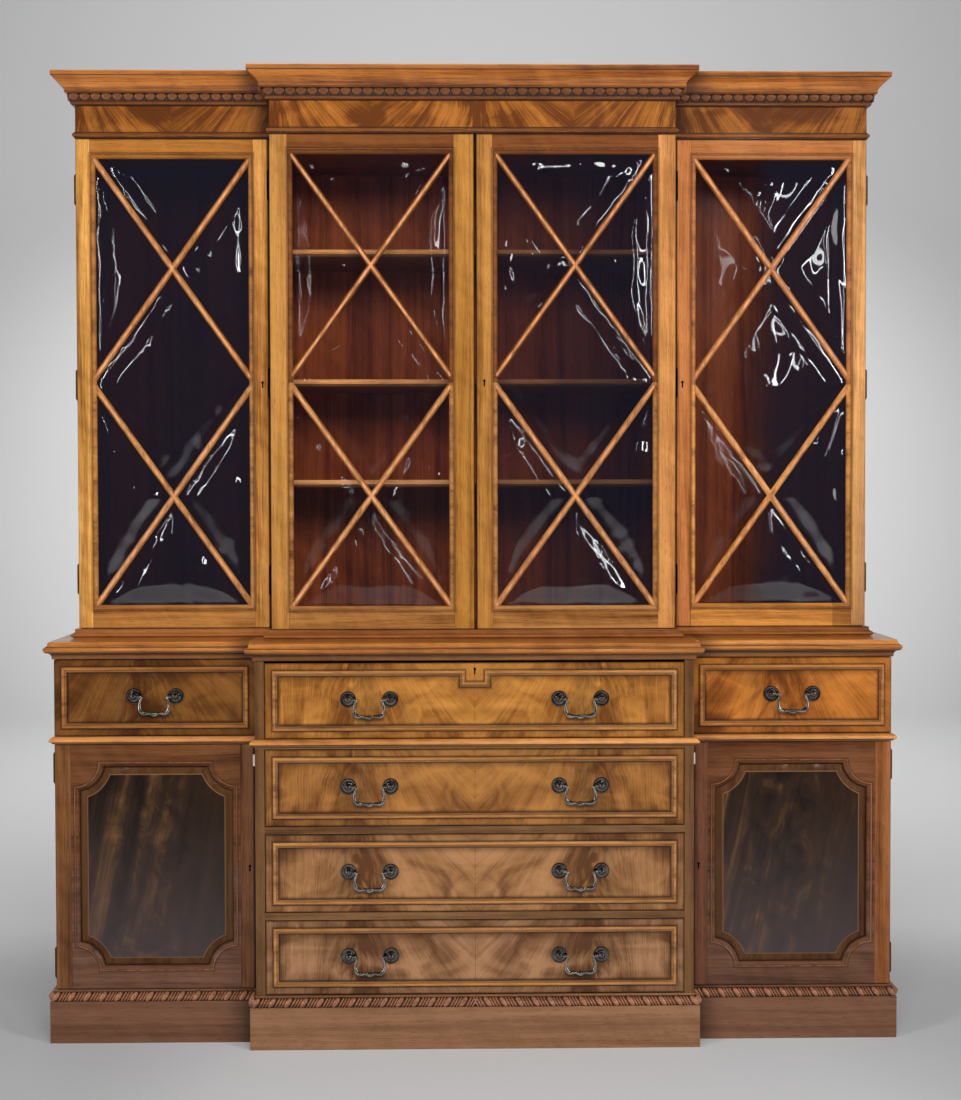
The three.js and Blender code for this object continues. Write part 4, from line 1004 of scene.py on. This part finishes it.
shaped_profile = [
    (-0.4, 0.6), (-0.6, -0.5), (0, -1), (0.9, -1.1), (1.7, -0.6), (1.9, 0.1),
    *arc((2.2, -0.1), (10.2, 8.2), 0.16, 8), (10.2, 11.8), (0.4, 11.8),
]
panel_profile = [
    (2.3, 17.3), (2.3, 12.3), (10, 12.3), (10.6, 11.6), *arc((12, 11.1), (26, 7), -0.03, 4), (26.8, 6.8),
    (27.2, 6), (29, 5.9),
]
for side, hand in SIDES:
    body = hand + "_cupboard_door"
    mitred([bitten_ring(side, d, y) for d, y in shaped_profile])
    name_piece(body + "_shaped_mould", door_mould_wood, body, "mahogany")
    sweep([bitten_ring(side, d, y) for d, y in panel_profile])
    name_piece(body + "_fielded_panel", panel_finishes[side], body, "dark_panel", body + "_panel")

# Applied frames on the drawers

band_profile = [
    (-0.3, 0.4), (-0.3, -2.4), (0.2, -3.6), (1.2, -4.7), (2.6, -5.4), (4.2, -5.4), (5.6, -4.8), (6.4, -3.8),
    (6.6, -2.9), (7.6, -2.7), (8.6, -3), (9.8, -2.9), (10.8, -2.2), (11.3, -1.2), (11.3, 0.4),
]


def notched(left, right, low, high, d):
    """Outline of the frame round the lock, moved inwards by d."""
    middle = (left + right) / 2
    half = NOTCH_HALF + d
    foot = high - NOTCH_DEEP - d
    x0, x1, z0, z1 = left + d, right - d, low + d, high - d
    return [(x0, z0), (x1, z0), (x1, z1), (middle + half, z1), (middle + half, foot),
            (middle - half, foot), (middle - half, z1), (x0, z1)]


for name, left, right, low, high, face, handles in DRAWERS:
    edges = band_edges(left, right, low, high)
    if name == "desk_fall":
        mitred([[place(x, face + y, z) for x, z in notched(*edges, d)] for d, y in band_profile])
    else:
        mitred([ring_points(*edges, d, face + y) for d, y in band_profile])
    name_piece(name + "_applied_frame", centre_frame_wood if face else side_frame_wood, name, "mahogany")

# Handles: one pull is modelled at the first drawer and copied

POST_HALF = 45
POST_SIDES = 28
BAIL_SIDES = 14
BAIL_OUT = 12
BAIL_FLAT = 0.8


def turned(x, face, z, profile):
    """A turned form: circles of the given radius at each height over the face."""
    angles = circle_angles(POST_SIDES)
    return sweep([
        [place(x + radius * math.cos(a), face - height, z + radius * math.sin(a)) for a in angles]
        for radius, height in profile
    ])


post_profile = [
    (16.8, -0.3), (17.1, 1), (17, 3), (16.5, 3.9), (15.6, 4), (14.9, 3.3), (13.4, 3.05), (11, 3.2), (9, 3.6),
    (7.2, 4.4), (5.9, 5.4), (5.6, 6.6), (6.1, 8.2), (7, 10), (7.5, 12), (7.3, 14), (6.2, 16.2), (4, 18.2),
    (1.6, 19.1), (0.4, 19.2),
]
# Half of a bail from its middle outwards: across, up and half thickness
bail_line = [
    (0, -38, 6), (3.5, -38, 5.2), (7, -37, 3.5), (10.5, -35.8, 3.1), (15, -36.2, 4), (20, -36.6, 4.8),
    (25, -35.6, 5.3), (28.8, -32.6, 5), (31.2, -27.4, 4), (31.8, -21.6, 3.3), (31, -15, 2.9), (29.4, -9, 2.8),
    (27.9, -5, 3), (27.6, -2.4, 3.4), (29.4, -0.6, 3.2), (33, 0, 2.9), (37.8, 0, 2.8),
]


def swan_bail(x, face, z):
    """A swan neck bail, slightly flat in section, with its ends level in the posts."""
    route = [(-px, pz, radius) for px, pz, radius in reversed(bail_line[1:])] + bail_line
    last = len(route) - 1
    rings = []
    for i, (px, pz, radius) in enumerate(route):
        before = Vector(route[max(0, i - 1)][:2])
        after = Vector(route[min(last, i + 1)][:2])
        run = Vector((1, 0)) if i in (0, last) else (after - before).normalized()
        ring = []
        for a in circle_angles(BAIL_SIDES):
            out = radius * math.cos(a)
            forward = BAIL_OUT - BAIL_FLAT * radius * math.sin(a)
            ring.append(place(x + px - run.y * out, face - forward, z + pz + run.x * out))
        rings.append(ring)
    return sweep(rings)


PULL_RISE = 3.5
first_bail = None
for name, left, right, low, high, face, handles in DRAWERS:
    for x in handles:
        z = (low + high) / 2 + PULL_RISE
        hand = "" if len(handles) == 1 else ("_left" if x < 0 else "_right")
        if first_bail is None:
            first_at = Vector((x, face, z))
            bail = first_bail = swan_bail(x, face, z)
            posts = [turned(x + side * POST_HALF, face, z, post_profile) for side in (-1, 1)]
            first_posts = join_pieces(posts)
            name_piece(name + "_rosettes" + hand, dark_brass, name, "antique_brass")
        else:
            offset = Vector((x, face, z)) - first_at
            copy_piece(first_posts, offset)
            name_piece(name + "_rosettes" + hand, dark_brass, name, "antique_brass")
            bail = copy_piece(first_bail, offset)
        bpy.context.view_layer.objects.active = bail
        node = name + "_bail" + hand
        name_piece(node + "_bar", worn_brass, node, "antique_brass", node)

# Hinge barrels, the stays of the fall, and small fittings

BARREL_LONG = 62
BARREL_SIDES = 16
barrel_profile = [
    (1.2, -3), (2.6, -2), (3, -1), (2.6, -0.2), (3.9, 0), (3.9, 15), (3.5, 15.3), (3.5, 15.7), (3.9, 16),
    (3.9, 31),
]
barrel_profile += [(radius, BARREL_LONG - at) for radius, at in reversed(barrel_profile[:-1])]


def barrel(x, y, middle):
    """A hinge barrel with ball ends and two joints."""
    low = middle - BARREL_LONG / 2
    angles = circle_angles(BARREL_SIDES)
    return sweep([
        [place(x + radius * math.cos(a), y + radius * math.sin(a), low + at) for a in angles]
        for radius, at in barrel_profile
    ])


# Hinges: door at either hand, place to the side and in depth, bottom, top, and shares of the height
HINGES = [
    ("{}_glazed_door", 875.8, 135.25, GLAZED_LOW, GLAZED_HIGH, (0.1, 0.5, 0.9)),
    ("centre_{}_glazed_door", 445.3, 75.25, GLAZED_LOW, GLAZED_HIGH, (0.1, 0.5, 0.9)),
    ("{}_cupboard_door", 907.8, 20.25, CUPBOARD_LOW, CUPBOARD_HIGH, (0.1, 0.9)),
]
for door, aside, y, low, high, shares in HINGES:
    for side, hand in SIDES:
        body = door.format(hand)
        join_pieces([barrel(side * aside, y, low + (high - low) * share) for share in shares])
        name_piece(body + "_hinges", lock_iron if "centre" in body else hinge_brass, body, "antique_brass")

# Stays: quadrants round the lower front edge of the fall. The section holds places to the side and radii
FALL_FACE, FALL_LOW = -60, 664
STAY_START, STAY_TURN, STAY_STEPS = 12, 70, 24
STAY_SECTION = ((432.7, 99.8), (432.7, 112.2), (429.3, 112.2), (429.3, 99.8))
for side, hand in SIDES:
    rings = []
    for k in range(STAY_STEPS + 1):
        angle = math.radians(STAY_START + STAY_TURN * k / STAY_STEPS)
        forward, up = math.cos(angle), math.sin(angle)
        rings.append([place(side * x, FALL_FACE + r * forward, FALL_LOW + r * up) for x, r in STAY_SECTION])
    sweep(rings)
    name_piece("desk_fall_stay_" + hand, hinge_brass, "desk_fall", "antique_brass")

# Lock plates deep in the keyholes: one is modelled and copied
KEY_RADIUS = 3
LOCK_DEPTHS = (1.6, 6.8)
key_angles = [math.radians(-58 + 296 * k / 16) for k in range(17)]
key_outline = [(KEY_RADIUS * math.cos(a), KEY_RADIUS * math.sin(a)) for a in key_angles]
key_outline += [(-1.5, -11.9), (1.5, -11.9)]


def lock_plate(x, face, z):
    return sweep([[place(x + kx, face + depth, z + kz) for kx, kz in key_outline] for depth in LOCK_DEPTHS])


# Keyholes: body, and its place
GLAZED_KEY = 1429.75
KEYHOLES = [
    ("left_glazed_door", -464.5, 115, GLAZED_KEY),
    ("right_glazed_door", 464.5, 115, GLAZED_KEY),
    ("centre_right_glazed_door", 24, 55, GLAZED_KEY),
    ("left_cupboard_door", -486, 0, CUPBOARD_Z),
    ("right_cupboard_door", 486, 0, CUPBOARD_Z),
    ("desk_fall", 0, FALL_FACE, 811),
]
first_at = KEYHOLES[0][1:]
first_lock = lock_plate(*first_at)
for i, (body, *at) in enumerate(KEYHOLES):
    if i:
        copy_piece(first_lock, Vector(at) - Vector(first_at))
    name_piece(body + "_lock", lock_iron, body, "antique_brass")

buffer_felt = Finish("door_buffer", roughness=0.85)
fluff = buffer_felt.noise(buffer_felt.here, scale=260, detail=3.0)
felt_stops = [(0.3, colour(214, 206, 190)), (0.7, colour(240, 234, 222))]
buffer_felt.set_value("Base Color", buffer_felt.ramp(fluff, felt_stops))
for side, hand in SIDES:
    low, high = sorted((side * 471.6, side * 478))
    box_piece((low, -2, 597), (high, 0.3, 622), 0.6)
    name_piece(hand + "_cupboard_door_buffer", buffer_felt.material, hand + "_cupboard_door")

# Gadroon and egg and dart: one repeat is modelled, and an array repeats it along each run


def runs_of(line, d):
    """Straight lengths of a plan line: start, direction and length."""
    corners = [Vector(p) for p in line(d)]
    for a, b in zip(corners, corners[1:]):
        yield a, (b - a).normalized(), (b - a).length


def lobe(width):
    """A leaning gadroon: a ball drawn out upright and sheared along the run."""
    deselect()
    bpy.ops.mesh.primitive_uv_sphere_add(segments=14, ring_count=10, radius=1)
    ball = bpy.context.object
    reshape(ball, lambda x, y, z: (
        x * width / 2 + LOBE_LEAN * z * LOBE_TALL / 2, y * LOBE_DEEP, z * LOBE_TALL / 2,
    ))
    return ball


def repeat_along(unit, line, d, z, pitch, name, finish):
    """Copies a unit along every straight length, leaning to the middle of the front."""
    made = []
    for start, run, length in runs_of(line, d):
        count = max(1, round(length / pitch))
        step = length / count
        if start.x < 0 < (start + run * length).x:
            halves = [(0, count // 2, 1), (count // 2, count, -1)]
        else:
            halves = [(0, count, 1 if start.x < 0 else -1)]
        for first, last, hand in halves:
            if last <= first:
                continue
            pick([unit])
            bpy.ops.object.duplicate()
            piece = bpy.context.object
            if hand == -1:
                piece.scale.x = -1
                apply_place()
                turn_outwards()
            apply_modifier(
                "rows", "ARRAY", use_relative_offset=False, use_constant_offset=True,
                constant_offset_displace=(step * MM, 0, 0), count=last - first,
            )
            at = start + run * step * (first + 0.5)
            piece.rotation_euler.z = math.atan2(run.y, run.x)
            piece.location = place(at.x, at.y, z)
            apply_place()
            made.append(piece)
    join_pieces(made)
    smooth(40)
    name_piece(name, finish, "case", "red_mahogany")


# Lobes of a gadroon: share of the pitch at which each stands, and its width
GADROON_PITCH = 33.4
GADROON_LOBES = ((-0.28, 15.5), (0.08, 6.4), (0.27, 6.4), (0.46, 6.4))
LOBE_LEAN, LOBE_TALL, LOBE_DEEP = 0.55, 21, 8
CARVING_BACK = BACK - 4
units = []
for at, width in GADROON_LOBES:
    part = lobe(width)
    part.location.x = at * GADROON_PITCH * MM
    apply_place()
    units.append(part)
unit = join_pieces(units)
carving_line = plan_line(**LOWER, back=CARVING_BACK)
gadroon_middle = (GADROON_LOW + GADROON_HIGH) / 2
repeat_along(unit, carving_line, 8, gadroon_middle, GADROON_PITCH, "gadroon_lobes", carved_wood)
bpy.data.objects.remove(unit)
backing = [
    (2.3, GADROON_LOW), (9, GADROON_LOW), (9, GADROON_LOW + 6), (7, GADROON_HIGH - 2), (2.3, GADROON_HIGH),
]
moulding(lower_line, backing)
name_piece("gadroon_ground", ground_wood, "case", "red_mahogany", "gadroon_mould")

# Egg and dart: broad eggs that meet at the top, with a small dart in the hollow under each joint
EGG_PITCH = 24
deselect()
bpy.ops.mesh.primitive_uv_sphere_add(segments=18, ring_count=12, radius=1)
egg = bpy.context.object
reshape(egg, lambda x, y, z: (x * (10.4 * (1 + 0.3 * z)), y * 3.4 - z * 2.2, z * 8.2))
deselect()
bpy.ops.mesh.primitive_cone_add(vertices=6, radius1=1, radius2=0.05, depth=2)
dart = bpy.context.object
reshape(dart, lambda x, y, z: (x * 2.3 + EGG_PITCH / 2, y * 3 + 1.6, z * 3.6 - 4.6))
unit = join_pieces([egg, dart])
carving_line = plan_line(**UPPER, back=CARVING_BACK)
repeat_along(unit, carving_line, 12.5, (EGG_LOW + CYMA_LOW) / 2, EGG_PITCH, "egg_and_dart_carving", egg_wood)
bpy.data.objects.remove(unit)

# Floor, backdrop, lamps and camera

# The floor and its cove to the wall, in metres
COVE = 1.4
COVE_STEPS = 12
WALL_RISE = 4
deselect()
bpy.ops.mesh.primitive_plane_add(size=1)
floor = bpy.context.object
floor.name = "floor"
floor.scale = (18, 14, 1)
floor.location = (0, -1.4, 0)
apply_place()
bpy.ops.object.mode_set(mode="EDIT")
bpy.ops.mesh.select_all(action="DESELECT")
mesh = bmesh.from_edit_mesh(floor.data)
for edge in mesh.edges:
    edge.select_set(all(vertex.co.y > 2 for vertex in edge.verts))
for vertex in mesh.verts:
    vertex.select_set(vertex.co.y > 2)
bmesh.update_edit_mesh(floor.data)
for k in range(COVE_STEPS):
    a0, a1 = (math.radians(90 / COVE_STEPS * (k + i)) for i in (0, 1))
    step = (0, COVE * (math.sin(a1) - math.sin(a0)), COVE * (math.cos(a0) - math.cos(a1)))
    bpy.ops.mesh.extrude_region_move(TRANSFORM_OT_translate={"value": step})
bpy.ops.mesh.extrude_region_move(TRANSFORM_OT_translate={"value": (0, 0, WALL_RISE)})
bpy.ops.object.mode_set(mode="OBJECT")
smooth(60)
backdrop = Finish("studio_grey", roughness=0.9)
across, into, up = backdrop.axes()
across = across - 0.14
# Painted fall-off of light: the backdrop is darker away from the middle of the wall and at the sides of the
# floor
far = (across * across * 0.143 + (up - 1.0) * (up - 1.0) * 0.45).step(0.5, 2.6)
wall = backdrop.mix(far, (0.9, 0.9, 0.9, 1), (0.55, 0.55, 0.55, 1))
beside = across.alone("ABSOLUTE").step(0.55, 0.95)
ground = backdrop.mix(beside, (0.69, 0.7, 0.71, 1), (0.57, 0.575, 0.58, 1))
backdrop.set_value("Base Color", backdrop.mix(into.step(0.2, 1.0), ground, wall))
dress(floor, backdrop.material)


def lamp(name, at, aim, size, power):
    light = bpy.data.lights.new(name, "AREA")
    light.shape = "RECTANGLE"
    light.size, light.size_y = size
    light.energy = power
    lamp_object = bpy.data.objects.new(name, light)
    bpy.context.scene.collection.objects.link(lamp_object)
    lamp_object.location = at
    lamp_object.rotation_euler = (Vector(aim) - Vector(at)).to_track_quat("-Z", "Y").to_euler()
    return lamp_object


SOFT_LAMPS = [
    ("key_front", (0.2, -4.6, 3.0), (3.0, 1.4), 150),
    ("key_left", (-2.9, -3.2, 2.6), (1.2, 1.6), 62),
    ("key_right", (2.9, -3.2, 2.6), (1.2, 1.6), 68),
]
for name, at, size, power in SOFT_LAMPS:
    lamp(name, at, (0, 0, 1.0), size, power).visible_glossy = False
lamp("backdrop_fill", (0, 2.4, 4.6), (0, 7, 1.6), (6.0, 1.0), 205)
SHEEN_LAMPS = [
    ("edge_light_left", (-3.0, -1.6, 1.6), (1.0, 2.6), 32),
    ("edge_light_right", (3.0, -1.6, 1.6), (1.0, 2.6), 32),
    ("overhead_sheen", (0.5, -3.4, 4.6), (1.2, 0.14), 9),
    ("strip_outer_left", (-2.6, -4.6, 2.3), (0.1, 1.0), 6),
    ("strip_right", (1.5, -5.4, 2.5), (0.08, 1.0), 6),
    ("strip_outer_right", (2.6, -4.6, 2.2), (0.14, 0.9), 10),
]
for name, at, size, power in SHEEN_LAMPS:
    lamp(name, at, (0, 0, 1.2), size, power).visible_diffuse = False
world = bpy.data.worlds.new("room")
bpy.context.scene.world = world
world.use_nodes = True
world.node_tree.nodes["Background"].inputs["Color"].default_value = (0.9, 0.94, 1, 1)
world.node_tree.nodes["Background"].inputs["Strength"].default_value = 0.06

# Camera fitted to the photograph
PHOTO_TALL = 1100
FOCAL = 1810.77
camera_data = bpy.data.cameras.new("camera")
camera = bpy.data.objects.new("camera", camera_data)
bpy.context.scene.collection.objects.link(camera)
camera_data.sensor_width = 36
camera_data.lens = FOCAL / PHOTO_TALL * camera_data.sensor_width
yaw, pitch, roll = 0.01797, 0.02944, -0.0021
forward = Vector((math.sin(yaw) * math.cos(pitch), math.cos(yaw) * math.cos(pitch), -math.sin(pitch)))
level = Vector((math.cos(yaw), -math.sin(yaw), 0))
up = level.cross(forward)
right = level * math.cos(roll) + up * math.sin(roll)
top = up * math.cos(roll) - level * math.sin(roll)
camera.matrix_world = Matrix.Translation(place(-56.24, -3900, 1176.92)) @ Matrix(
    (right, top, -forward)
).transposed().to_4x4()
bpy.context.scene.camera = camera

bpy.context.scene.view_settings.view_transform = "Standard"
